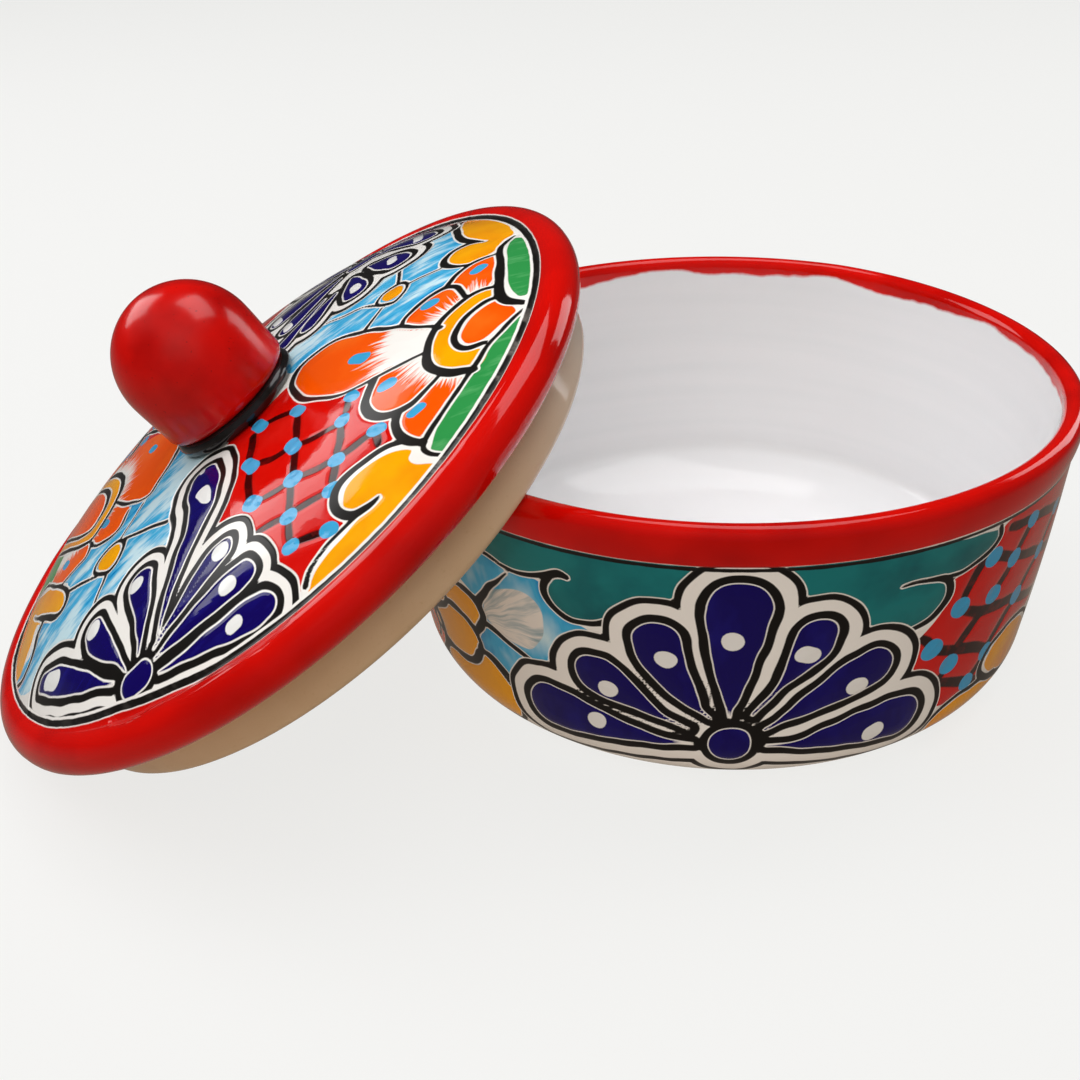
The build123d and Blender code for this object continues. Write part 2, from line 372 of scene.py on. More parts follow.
core_area = [
    (95.4, -38.4), (91, -38.6), (86.6, -41), (82.6, -44.8), (79.6, -49.6), (79.6, -53.4), (81, -55),
    (84.8, -55.2), (89.8, -51.6), (95.6, -47.4), (95.8, -43),
]
low_leaf = [
    (98.8, -50, 1.6), (95.8, -55, 8.4), (90.6, -63, 13.4), (84.8, -70.4, 15.4), (78.2, -77, 15.4),
    (71, -83.5, 14), (65.2, -88, 11.6), (61.4, -90, 7.6),
]
high_leaf = [
    (106.6, 1.8, 3.4), (106, -6, 6.4), (104.6, -16, 7.2), (102.6, -26, 7.2), (101, -34, 6.2),
    (100, -38.6, 3),
]
flower_dots = [
    [(48, -29.6, 5), (51, -33.4, 5)],
    [(54, -55.9, 4.8), (55.8, -55.9, 4.8)],
    [(57.4, -73.6, 3), (61, -72.2, 3)],
    [(74.8, -24.4, 5.2), (76, -24, 5.2)],
    [(91.6, -15, 3.8), (93.8, -13, 3.8)],
]
flower_ink = [
    [(75.5, -41.2, 1.6), (70, -34.8, 1.6), (65, -29, 1.8), (59, -22, 2), (53.3, -15.8, 2),
     (45, -8.3, 1.8), (38.3, -6.2, 1.8), (31.4, -7.2, 2), (27.2, -10.4, 2.2), (25.3, -16.7, 2.4),
     (26.3, -25, 2.4), (28.6, -31.8, 2.2), (33.3, -38.3, 1.6), (39.2, -44.2, 1.4), (43.5, -47.1, 1.3),
     (51.7, -48.9, 1.4), (60, -49.6, 1.4), (69, -50.6, 1.2)],
    [(52, -49.4, 2.6), (49, -54, 3), (46.9, -59, 3.2), (47.2, -64.5, 3.4), (50, -68.4, 3.2),
     (54.2, -70.2, 2.8), (59.2, -69.6, 2), (64.2, -67.1, 1.4), (69.2, -63.6, 1.4)],
    [(54.6, -70.8, 2.4), (52.6, -74.2, 2.6), (52.2, -78.3, 2.8), (53.6, -82.5, 3), (56.8, -85.8, 2)],
    [(65, -28.6, 1.8), (66.7, -25, 1.8), (70.8, -21.7, 2), (76.7, -18.9, 2), (81.7, -18, 2.2),
     (84.4, -20.4, 2), (85.3, -25, 1.6), (85.8, -30.4, 1.6)],
    [(81.9, -17.8, 2), (83.6, -15.6, 1.8), (86.7, -11.7, 1.8), (90.8, -8.4, 1.8), (95, -7.2, 1.6),
     (98.8, -7, 1.4)],
    [(95.4, -30.2, 1.8), (90.8, -29, 1.8), (85.8, -30.6, 1.9), (80, -34.4, 2), (74.2, -40.2, 2.2),
     (70, -47.5, 2.6), (68, -54.2, 3), (68.4, -60, 3.4), (71.9, -64.2, 3.4), (78, -66.6, 2.6)],
    [(95, -36.5, 1.6), (90.8, -36.6, 1.8), (85.8, -39.3, 1.8), (80.9, -43.4, 1.9), (77.6, -49.2, 2.1),
     (77.5, -54.2, 2.3), (79.4, -56.9, 2.5), (84, -57.2, 2)],
    [(98.2, -46.6, 1), (92.6, -51.6, 1.3), (85.4, -58.4, 1.4), (77.8, -66.4, 1.4), (70.4, -73.8, 1.3),
     (63.4, -80, 1.4), (56.6, -86, 1.5), (57, -90, 1.5), (60.6, -92.4, 1)],
    [(107, 6, 0.8), (103.4, 1.4, 1.4), (101, -3, 2), (99.5, -12.5, 2.4), (97.6, -21.7, 2.8),
     (95.2, -31.7, 3), (94.6, -36.7, 3.2), (95.6, -40.6, 3.4), (98.8, -43.6, 2.6)],
]
# Right scroll
right_scroll = [
    (85.6, -2), (87.4, -5.4), (91.5, -6.8), (96, -6.2), (99.6, -3), (101.4, 1), (104, 5), (106.6, 8),
    (106.8, 16), (106.3, 25), (104, 38), (100, 50), (96, 55), (93.6, 48), (93, 38), (93, 28), (93.6, 20),
    (96, 14), (98, 9.4), (95, 10.4), (91, 10.2), (87.6, 7.6), (85.6, 3.4),
]
scroll_ink = [
    [(98, 8.6, 0.8), (95, 11.2, 1.8), (91.7, 11.3, 1.8), (87.4, 9, 1.8), (84.6, 4.4, 2.4),
     (84.2, -0.8, 2.6), (86.6, -5.2, 2), (90, -7.8, 1.6)],
    [(97.6, 8.8, 1), (94.4, 13, 2.6), (92, 18.4, 2.8), (91.4, 26, 2.6), (91.3, 35, 2.4), (92, 44, 2),
     (93.4, 52, 1.6)],
]
# Blue ground with its lines, rings and suns
right_sky = [
    (26, -8), (38, -6), (46, -9), (54, -16), (60, -23), (65, -28.5), (67, -25), (71, -21.5), (77, -19),
    (82, -18), (84, -15), (87, -11.5), (90, -8), (86.6, -5), (84, 0), (85, 5), (88, 10), (94, 12),
    (92, 18), (91.5, 26), (91.5, 38), (93, 50), (96, 56), (92, 66), (84, 56), (80, 42), (74, 26),
    (60, 16), (40, 15), (24, 16), (20, 10), (24, 2),
]
left_sky = [
    (-104, -36), (-111, -25), (-104, -22), (-98, -24), (-92, -14), (-86, -19), (-80, -24), (-77, -20),
    (-75, -14), (-79, -8), (-72, -8), (-65, -6), (-62, -7), (-54, -10), (-47, -6), (-44, -2), (-39, -6),
    (-30, -2), (-23, 4), (-20, 8), (-14, 0), (-6, -10), (-4, -20), (-10, -40), (-20, -60), (-40, -60),
    (-70, -56), (-90, -48),
]
sky_ink = [
    [(41, 12.4, 1), (47, 8.4, 1), (54, 4.4, 1), (60, -2, 1.4)],
    [(70.6, 18, 1.4), (69.6, 12, 1.4), (68.6, 5, 1.3)],
    [(71.6, -0.2, 1.2), (76, -1, 1), (82, -1.8, 1)],
    [(61, -7.4, 1.2), (57.4, -11, 1.4), (53.6, -15.4, 1.8)],
    [(-58.4, -31.6, 1.4), (-66, -26, 1.4), (-74.2, -20, 1.5)],
    [(-91, 9, 1.3), (-97, 14, 1.4), (-104, 19, 1.4), (-111, 17, 1.4)],
    [(-46.6, -24.4, 1.6), (-40, -29, 1.5), (-33.6, -33.6, 1.5), (-26.4, -39, 1.7)],
    [(-54, -35.6, 1.3), (-55.6, -39.4, 1.2), (-58, -43, 1.2), (-60, -46.4, 1.3)],
    [(-48, -22.4, 1), (-43, -17, 0.8), (-38, -11.6, 0.8)],
]
sky_rings = [
    [(65.6, 4, 1.4), (69.6, 3.6, 1.5), (71.4, 0, 1.5), (69.6, -5, 1.5), (65.4, -8.6, 1.5),
     (61.4, -5, 1.5), (60, -0.6, 1.4), (62, 3, 1.3)],
    [(-53.4, -20.9, 1.6), (-48.4, -22.6, 1.7), (-46.2, -28, 1.6), (-48.4, -34, 1.6), (-53, -35.8, 1.7),
     (-57.4, -32, 1.6), (-60, -27, 1.5), (-58.4, -22.8, 1.4)],
]
sky_suns = [[(65.9, -0.2, 7.8), (65.8, -2.6, 6.4)], [(-53.2, -26.4, 10), (-52.7, -29, 9.8)]]
# Left scroll and left flower
left_scroll = [
    (-77.1, -17.5), (-79.6, -8), (-88.2, 1.2), (-96, 9.6), (-104.4, 17.2), (-108, 13), (-112, 10),
    (-118, 0), (-117, -10), (-112, -19.6), (-106.2, -23.2), (-101.3, -20), (-97.6, -17), (-95.4, -11.6),
    (-92, -14.4), (-86.4, -22), (-80.4, -26), (-76.5, -24),
]
left_scroll_ink = [
    [(-91.6, 10, 1.3), (-85.6, 0, 1.5), (-78.8, -11, 1.7), (-74.4, -21, 2), (-76, -26, 2.4),
     (-80.4, -26, 2.4), (-88, -16.6, 2.4), (-94, -8, 1.6), (-99.6, 1, 0.6)],
    [(-88.4, -15.6, 2.2), (-93, -18.4, 2.6), (-94.9, -24, 2.6), (-98.6, -28, 2.4), (-104, -28.4, 2),
     (-110, -24.6, 1.6)],
]
left_petals = [
    [(-79, -9.4), (-72, -9.4), (-66.6, -9.5), (-64.4, -4), (-65, 0), (-72, 5.8), (-81, 17), (-84, 14),
     (-86.5, 8.5), (-88, 1.5), (-83.5, -4)],
    [(-64, -0.6), (-62.6, -6), (-59.6, -10), (-54, -13.2), (-48.8, -13), (-45, -6), (-47.6, 0),
     (-52.4, 8), (-54.4, 11), (-58.4, 4.8)],
    [(-52.4, 12), (-47.6, 1.7), (-39.3, -7.7), (-35, -9.4), (-30, -4), (-26.8, 0), (-23.6, 6),
     (-22.6, 12), (-27, 27), (-36, 45), (-44, 57), (-52, 52), (-56, 42), (-52, 30), (-51.4, 20)],
]
left_crescent = [
    (-97, 37), (-89, 28), (-81, 17), (-72, 6), (-64.6, 0.4), (-58.6, 4.6), (-53.4, 13), (-51.6, 22),
    (-53, 32), (-58, 42), (-64, 50), (-69, 47), (-64.4, 40), (-60.4, 31), (-58.8, 22), (-60.8, 14),
    (-64.6, 9.4), (-69.4, 11), (-76, 19), (-83, 30), (-89, 41),
]
left_core = [
    (-88, 41), (-82, 30.6), (-75.4, 20.4), (-69, 12.6), (-65, 11.6), (-62, 15.6), (-60.4, 22),
    (-61.8, 30.6), (-65.6, 39), (-71, 47), (-79, 51), (-86, 48),
]
left_ink = [
    [(-79.4, -9.2, 1.4), (-72, -9.6, 1.3), (-66.2, -9.8, 1.4), (-64, -4.6, 1.4), (-64.8, 0, 1.3)],
    [(-63.4, -3, 1.3), (-62.4, -6.4, 1.4), (-59.6, -10.2, 1.5), (-54, -13.5, 1.5), (-48.8, -13.2, 1.4),
     (-45.2, -6.6, 1.2)],
    [(-52.8, 11, 1.4), (-47.8, 1.6, 1.4), (-43, -4, 1.3), (-39.3, -7.8, 1.2), (-35, -9.8, 1.3),
     (-30.6, -5, 1.3), (-27, -0.6, 1.4), (-23.6, 5.4, 1.6), (-22.2, 12, 1.8), (-26.6, 27, 1.8),
     (-35, 44, 1.8), (-44, 57.6, 1.8), (-55, 67, 1.6)],
    [(-97, 38, 1.6), (-89, 29, 1.7), (-81, 17.6, 1.8), (-72, 6.2, 1.8), (-64.6, 0, 1.9), (-58.4, 4.4, 2),
     (-53, 13, 2.2), (-51.2, 22, 2.4), (-52.8, 32.4, 2.4), (-58, 42.6, 2.4), (-64, 51, 2)],
    [(-89.6, 41.6, 1.2), (-83, 30, 1.5), (-76, 19, 1.6), (-69.2, 11, 1.7), (-64.6, 9.2, 1.8),
     (-60.6, 14, 1.9), (-58.6, 22, 2), (-60.2, 31, 2), (-64.4, 40, 2), (-69, 47, 1.8)],
]
left_leaf = [
    (-84, 30), (-82.6, 24), (-82.4, 14), (-85.2, 8.4), (-90, 7.4), (-97, 13), (-103.6, 18.6),
    (-108.4, 13.4), (-116, 10), (-112, 30), (-104, 46), (-92, 60), (-78, 72), (-62, 74), (-57, 62),
    (-59, 55), (-66, 57), (-75, 54), (-83, 46), (-88, 39),
]
# Ink ring round the pattern: degrees round the lid, width
ring_ink = [
    (0, 2.4), (20, 2.6), (60, 2.6), (120, 2.4), (150, 1.8), (190, 1.4), (215, 2.0), (250, 2.4),
    (275, 2.5), (290, 2.6), (303, 3.0), (315, 3.4), (326, 3.0), (340, 2.6), (360, 2.4),
]


def draw_lid(x, y):
    art = Drawing(x, y)
    art.strokes("fan", near_petals + far_petals)
    art.strokes("pearl", pearls)
    art.stroke("ink", near_hub_ink, closed=True)
    art.areas("sky", (right_sky, left_sky))
    art.strokes("ink", sky_ink + scroll_ink + flower_ink + left_ink + left_scroll_ink)
    art.strokes("ink", sky_rings, closed=True)
    art.strokes("yellow", sky_suns)
    for side in (list, turned):
        art.area("red", side(lattice_area))
        art.strokes("rust", map(side, lattice_lines))
        art.strokes("dot", map(side, lattice_dots))
        art.area("yellow", side(low_scroll))
        art.strokes("ink", map(side, (low_hook, low_tail)))
        art.stroke("green", side(low_leaf))
    art.area("red", far_gap)
    art.strokes("rust", far_gap_lines)
    for x0, y0 in far_gap_dots:
        art.stroke("dot", dab(x0, y0, 4.8, 1.4, 0.6))
    art.areas("yellow", (left_scroll, right_scroll, crescent_area, left_crescent))
    art.stroke("green", high_leaf)
    art.area("green", left_leaf)

    # Petals are brushed outward from a hub, and begin to be orange at a distance from it
    art.area("orange", big_petal, (92, -52, 40.5))
    right_hub = (84, -48)
    for petal, reach in zip(small_petals, (24.5, 24, 18, 23)):
        art.area("orange", petal, (*right_hub, reach))
    art.area("orange", core_area, (120, -48, 0))
    art.strokes("dot", flower_dots)
    left_hub = (-72, 26)
    for petal, reach in zip(left_petals, (22, 27, 26)):
        art.area("orange", petal, (*left_hub, reach))
    for petal in small_petals[:2]:
        art.area("orange", turned(petal), (*left_hub, 20))
    art.strokes("ink", map(turned, flower_ink[1:3] + flower_ink[7:8]))
    art.strokes("dot", map(turned, flower_dots[1:3]))
    art.area("orange", left_core, (-110, 32, 0))
    for x0, y0 in ((-78, 2), (-56.6, -0.4), (-36, 28)):
        art.stroke("dot", dab(x0, y0, 3.6, -1.4, 3))
    return art


# The dish's pattern, in degrees round the wall and millimetres of height; it repeats after half a turn.
# Front fan, and the teal and blue grounds beside it
dish_petals = [
    [(-103.6, 73.4, 18), (-103.8, 66, 16.6), (-104, 57, 13), (-104.1, 48, 9), (-104.2, 40, 5),
     (-104.3, 35.5, 1.6), (-104.2, 32, 0.5)],
    [(-115.5, 59.2, 14.4), (-115.2, 55, 14), (-114, 49, 11.4), (-112.2, 43, 8.4), (-110.4, 38, 5),
     (-109, 34.4, 1.6), (-107.2, 31, 0.5)],
    [(-125.4, 42.4, 14.6), (-123.8, 40.6, 13.6), (-120.8, 37.4, 9.4), (-117.8, 33.4, 5),
     (-114.8, 30, 1.4), (-110.6, 26.4, 0.5)],
    [(-134.9, 24, 16.6), (-131.4, 23.6, 15.4), (-127, 22.6, 11.6), (-122, 21.6, 7.4), (-117, 20.6, 3.6),
     (-113.4, 20, 1.2), (-110, 20.4, 0.5)],
    [(-91.8, 62.2, 11.8), (-92.4, 58, 11.4), (-93.7, 53.2, 8.4), (-95.3, 48, 4.6), (-97, 43, 1.4),
     (-100.6, 32.6, 0.5)],
    [(-82.3, 46.6, 14), (-84.6, 44.2, 13.6), (-88, 40.2, 10.4), (-91.6, 35.8, 7), (-94.6, 31.8, 3.4),
     (-96.4, 29.4, 1.2), (-98.6, 26.8, 0.5)],
    [(-75.3, 23.3, 16.2), (-78.6, 23.2, 15), (-83, 22.4, 12), (-88, 21, 7.6), (-92.6, 19.8, 3),
     (-95, 19.6, 1.2), (-98, 20.2, 0.5)],
    [(-104, 20.6, 12.8), (-103.8, 21, 12.8)],
]
dish_pearls = [
    [(-104.4, 61.4, 6.2), (-104.3, 60.9, 6.2)],
    [(-114.3, 53.2, 6.2), (-114.1, 53, 6.2)],
    [(-124, 37.6, 6.2), (-123.7, 37.5, 6.2)],
    [(-126.4, 23.5, 6.4), (-126.2, 23.5, 6.4)],
    [(-93.4, 55.4, 6), (-92.6, 54.8, 6)],
    [(-84.3, 40.3, 6.2), (-83.9, 40.2, 6.2)],
    [(-79.9, 19.2, 6), (-78.9, 20, 6)],
]
dish_hub_ink = [
    (-104, 30.8, 4), (-100.2, 28.2, 4), (-98.6, 21, 4), (-100.2, 14, 4), (-104, 11.6, 3.6),
    (-107.8, 14, 3.4), (-109.4, 21, 3.6), (-107.8, 28.2, 4),
]
teal_areas = [
    [(-152, 82), (-148, 88), (-130, 88), (-110, 88), (-108, 84), (-111, 78), (-116, 74), (-120, 70),
     (-122, 64), (-125.5, 62.8), (-128, 61), (-130.8, 62.4), (-132.6, 66), (-133, 70.5), (-132.2, 75),
     (-135, 74.6), (-140, 74), (-145, 76), (-150, 78)],
    [(-98, 88), (-80, 88), (-63.6, 85), (-61.8, 84), (-62, 80.6), (-64.4, 77.4), (-68, 75), (-71.2, 74.6),
     (-71.2, 66), (-73.4, 60.4), (-77, 57.6), (-81, 59.6), (-85, 60.5), (-88, 67), (-94, 73), (-98, 80)],
]
dish_sky = [
    (-134, 73), (-133.4, 68), (-131.6, 64), (-129, 61), (-126, 58), (-130, 50), (-132, 42), (-136, 36),
    (-144, 26), (-149.5, 33), (-151.4, 38), (-150, 40.6), (-148, 45), (-147.6, 50), (-149, 55.6),
    (-154, 62), (-156, 72), (-150, 77), (-145, 75.4), (-140, 74),
]
dish_mist = [
    (-147, 54), (-145.6, 60), (-142, 64.6), (-138, 66.6), (-135.6, 65.2), (-134.2, 61), (-134.2, 56),
    (-135.2, 50), (-137.6, 44.8), (-141, 44), (-145, 46.4), (-147, 49.6),
]
# Lattice, and the yellow shapes under it
dish_red = [
    (-75, 52), (-72, 58), (-70.6, 63), (-70.6, 69), (-71, 74), (-66, 75), (-62.6, 77.4), (-61.6, 84),
    (-58, 86.6), (-46, 86.8), (-36, 86.6), (-34, 74), (-35, 60), (-38, 46), (-41, 37), (-46, 38.6),
    (-52, 37.4), (-55, 32), (-56, 26), (-54.6, 22), (-60, 21), (-65, 20), (-68, 22), (-78, 30), (-80, 42),
]
dish_rust = [
    [(-66, 58, 3), (-62, 54.6, 3.6), (-57, 52.4, 3.6), (-52, 50.6, 3.4), (-46, 46, 3.2), (-39, 41.6, 3)],
    [(-70, 45.6, 3), (-66, 43, 3.6), (-61, 40, 3.6), (-56.4, 35.6, 3.2)],
    [(-68.5, 31.5, 3), (-63.6, 28.6, 3.4), (-59.5, 25, 3.2), (-54.6, 22.4, 3)],
    [(-61.8, 74.5, 3), (-58.4, 72, 3.2), (-55.4, 69.4, 3), (-50, 66, 3), (-44, 62, 3), (-37, 57, 3)],
    [(-59, 83, 2.6), (-56, 81.6, 3), (-52.4, 80.6, 3), (-46, 78, 3), (-40, 74, 3), (-35, 72, 2.6)],
    [(-63, 77, 2.4), (-65, 72, 3.2), (-66.2, 66.4, 3), (-66.8, 61, 2.6)],
    [(-55.4, 69, 2.6), (-56.8, 64.6, 2.8), (-58.8, 59, 2.6)],
    [(-61.4, 53, 2.8), (-63.6, 48, 3.2), (-65.4, 43.6, 2.8)],
    [(-74.8, 54, 2), (-72.6, 51, 2.8), (-71.4, 48, 2.6)],
    [(-66, 43, 2.4), (-66, 38, 2.6), (-67.6, 33, 2.6)],
    [(-59.2, 25, 2.4), (-57, 30, 2.8), (-56, 34, 2.6)],
    [(-50, 50, 2.6), (-53.4, 43, 2.8), (-55.8, 36, 2.6)],
    [(-52.2, 80.4, 2.6), (-54, 75, 2.8), (-55.4, 69, 2.6)],
    [(-44.4, 62, 2.4), (-47, 57, 2.6), (-50, 50.4, 2.6)],
    [(-40.6, 74.4, 2.4), (-42.6, 68, 2.6), (-44.4, 62, 2.4)],
]
dish_dots = [
    (-61.8, 74.5, 6.6), (-55.4, 69, 6.6), (-66.9, 60, 7.6), (-58.9, 58.5, 6.8), (-50, 50.4, 6.8),
    (-66, 37.6, 7.4), (-71, 47, 7.6), (-55.9, 34, 6.4), (-59.4, 24.8, 6.4), (-52.3, 80.4, 6),
    (-44.4, 62, 6.4), (-40.6, 74.6, 6.2),
]
dish_yellow = [
    [(-54.4, 27), (-53.8, 31.4), (-52, 35), (-49, 36.8), (-45, 36.4), (-41, 33), (-38, 28), (-36, 22),
     (-37, 16), (-43, 16.6), (-48, 18.8), (-52, 22.4)],
    [(-66.6, 12.6), (-65, 17), (-62, 18.8), (-58, 19.6), (-54, 19), (-50, 17), (-46, 14.6), (-40, 13),
     (-37, 9), (-44, 5), (-52, 3.6), (-60, 4), (-65, 7)],
]
# Amber flower with its heart and leaves
dish_flower = [
    [(18.4, 41), (21, 44.6), (25, 44.6), (28.6, 40), (29.6, 34), (28, 28), (24, 23.6), (17, 24), (12, 28),
     (13, 36)],
    [(21, 44.6), (19, 50), (21.6, 55.8), (27, 56.6), (31, 53), (31.8, 47), (29.6, 41), (26, 44)],
    [(25, 25), (29, 32), (32.4, 32.6), (36.4, 27), (38, 18), (36, 9), (28, 7), (20, 8), (14, 14), (16, 22)],
    [(8, 41), (5, 52), (6.4, 62), (11, 67), (16, 65), (19.4, 58), (18.6, 50), (20, 43.6), (14, 36.6)],
    [(-8, 39), (-14, 50), (-14, 60), (-9, 66), (-3, 65), (2.6, 59), (5, 51), (7, 41), (0, 36)],
    [(-11, 33), (-20, 38), (-25, 46), (-24, 55), (-18.6, 57.6), (-14, 50), (-9, 40)],
    [(-12, 20), (-20, 20), (-28, 25), (-31, 33), (-27, 40), (-20, 38.4), (-12, 32)],
    [(-9, 11), (-16, 5), (-26, 4.4), (-33, 9), (-34, 18), (-28, 24), (-20, 20), (-12, 19)],
]
flower_heart = [
    (-11, 19), (-12, 27), (-8, 35), (-1, 39.6), (7, 39), (13, 34), (15, 26), (13, 17), (8, 10.6), (-1, 8),
    (-8, 11),
]
heart_crescent = [
    (-7, 15), (-9.4, 24), (-5.6, 32), (1, 36), (8, 34), (12, 27), (10.4, 20), (8.6, 25), (3, 29),
    (-2, 27), (-4.6, 21), (-3.4, 14.4),
]
dish_leaves = [
    [(-29, 54, 2), (-31, 62, 7), (-28, 70, 9.4), (-21, 75.6, 9), (-14, 77, 5), (-9, 77.6, 1)],
    [(3, 79, 1), (8, 78, 5), (15, 76, 8.4), (21, 70, 8), (24, 63, 4), (25, 59, 1)],
]
# Ink lines round the grounds and the yellow shapes
dish_ink = [
    [(-145, 76.4, 1.4), (-143, 75.4, 1.5), (-140.8, 74.2, 1.5), (-137.8, 73.6, 1.5), (-134.9, 74.6, 1.6),
     (-132.6, 76.2, 2.4), (-130.4, 77.9, 2.8), (-128.9, 77.4, 2)],
    [(-132.2, 75.6, 2.4), (-133, 72.9, 2.6), (-133.2, 69.3, 2.6), (-132.4, 65.7, 2.4), (-130.8, 63, 2.2),
     (-128.6, 61.3, 2), (-126, 62, 2), (-123.4, 63.6, 2.4)],
    [(-150, 78, 1.6), (-154, 78.6, 1.6), (-159, 77, 1.6)],
    [(-140, 71.8, 0.6), (-143.4, 65.6, 1.8), (-146, 60, 2.6), (-148.4, 54, 3.6), (-148, 48.4, 3.4),
     (-150.4, 40.6, 2.6)],
    [(-147.4, 46.6, 2.4), (-144, 44.4, 2.2), (-140, 41.2, 2), (-136.4, 38.8, 1.4)],
    [(-150.8, 33.6, 2.6), (-148, 31.8, 2.4), (-145.8, 28.6, 2), (-144.2, 25, 1.4)],
    [(-152.6, 56.4, 2.8), (-149, 54.6, 3.2)],
    [(-79.6, 75.4, 1), (-75, 75.2, 1.8), (-71.6, 73.4, 2.8), (-70.4, 69.6, 3), (-70.6, 65, 2.8),
     (-73, 60, 2.4), (-77, 57.4, 2), (-81, 58.6, 2), (-84, 60.6, 2)],
    [(-75, 75, 1.4), (-70, 74, 1.6), (-66, 75.4, 1.8), (-63, 78.6, 2), (-61.7, 82, 2.2),
     (-62.2, 85.6, 1.8)],
    [(-36.6, 14, 2.2), (-44, 15.4, 2.8), (-50, 18.4, 3), (-54.5, 22.4, 3), (-56, 28, 2.6),
     (-54.8, 33.6, 2.2), (-50.6, 37.8, 2), (-45, 38.2, 1.8), (-40, 34.6, 1.8), (-36.6, 29, 1.8),
     (-34.4, 22, 1.8), (-34.8, 15, 1.6)],
    [(-67.8, 9, 1.8), (-66.8, 15, 1.8), (-63.6, 19.6, 1.8), (-58, 21, 1.9), (-53, 20.6, 2), (-49, 18.8, 2)],
    [(-65, 4.4, 1.4), (-56, 2.2, 1.4), (-46, 3, 1.4), (-38, 6.6, 1.6), (-35, 12, 1.6)],
]


def draw_dish(x, y):
    """x is millimetres round the wall, already folded into one half turn."""
    art = Drawing(x, y, wall_mm)
    for shift in (-180, 0, 180):
        def moved(points):
            return [(p[0] + shift, *p[1:]) for p in points]

        def ink_round(points, width):
            art.stroke("ink", [(u + shift, v, width) for u, v in points], closed=True)

        art.strokes("fan", map(moved, dish_petals))
        art.strokes("pearl", map(moved, dish_pearls))
        art.stroke("ink", moved(dish_hub_ink), closed=True)
        art.areas("teal", map(moved, teal_areas))
        art.area("sky", moved(dish_sky))
        art.area("mist", moved(dish_mist), (-150 + shift, 47, 0))
        art.area("red", moved(dish_red))
        art.strokes("rust", map(moved, dish_rust))
        for u, v, size in dish_dots:
            art.stroke("dot", dab(u + shift - 0.2, v, size, 0.4, -0.4))
        art.areas("yellow", map(moved, [*dish_yellow, heart_crescent]))
        for petal in dish_flower:
            art.area("amber", moved(petal), (2 + shift, 24, 12))
            ink_round(petal, 2.2)
        art.area("orange", moved(flower_heart), (2 + shift, 24, -99))
        ink_round(flower_heart, 3.4)
        ink_round(heart_crescent, 1.4)
        for leaf in dish_leaves:
            art.stroke("green", moved(leaf))
            for side in (-1, 1):
                edge = [(u + shift, v + side * (width / 2 + 1.2), 1.6) for u, v, width in leaf]
                art.stroke("ink", edge)
        art.strokes("ink", map(moved, dish_ink))
    return art


# Sections and turned pieces


def arc(centre, radius, start, end, count):
    """Points on an arc of a section, angles in degrees, the first one left out."""
    angles = np.radians(np.linspace(start, end, count + 1)[1:])
    return [(centre[0] + radius * cos(a), centre[1] + radius * sin(a)) for a in angles]


def run(start, end, count):
    """Points on a straight run of a section, the first one left out."""
    share = np.linspace(0, 1, count + 1)[1:]
    return [(start[0] + (end[0] - start[0]) * t, start[1] + (end[1] - start[1]) * t) for t in share]


def turn_piece(name, section, is_painted):
    """Spins a section round the upright axis, then cuts the painted zone into finer faces."""
    bm = bmesh.new()
    verts = [bm.verts.new((r, 0, h)) for r, h in section]
    edges = [bm.edges.new(pair) for pair in zip(verts, verts[1:])]
    bmesh.ops.spin(bm, geom=verts + edges, cent=(0, 0, 0), axis=(0, 0, 1), angle=2 * pi, steps=SECTORS,
                   use_merge=True)
    bmesh.ops.remove_doubles(bm, verts=bm.verts, dist=0.002)
    ring_edges = []
    for edge in bm.edges:
        a, b = (v.co for v in edge.verts)
        level = abs(a.z - b.z) < SAME and abs(hypot(a.x, a.y) - hypot(b.x, b.y)) < SAME
        if level and is_painted(hypot(a.x, a.y), a.z):
            ring_edges.append(edge)
    bmesh.ops.subdivide_edges(bm, edges=ring_edges, cuts=FINE - 1, use_grid_fill=True)
    # The new points are on the faces' flats, and go out to the round
    sector = 2 * pi / SECTORS
    for vert in bm.verts:
        off = (atan2(vert.co.y, vert.co.x) % sector) - sector / 2
        outward = cos(off) / cos(sector / 2)
        vert.co.x *= outward
        vert.co.y *= outward
    bmesh.ops.recalc_face_normals(bm, faces=bm.faces)
    mesh = bpy.data.meshes.new(name)
    bm.to_mesh(mesh)
    bm.free()
    mesh.shade_smooth()
    piece = bpy.data.objects.new(name, mesh)
    bpy.context.scene.collection.objects.link(piece)
    return piece


def coordinates(mesh):
    flat = np.zeros(len(mesh.vertices) * 3)
    mesh.vertices.foreach_get("co", flat)
    return flat.reshape(-1, 3)


def keep_value(mesh, name, values):
    kind = "FLOAT" if values.ndim == 1 else "FLOAT_VECTOR"
    field = mesh.attributes.new(name, kind, "POINT")
    field.data.foreach_set("value" if values.ndim == 1 else "vector", values.astype(np.float32).ravel())


# Shader values


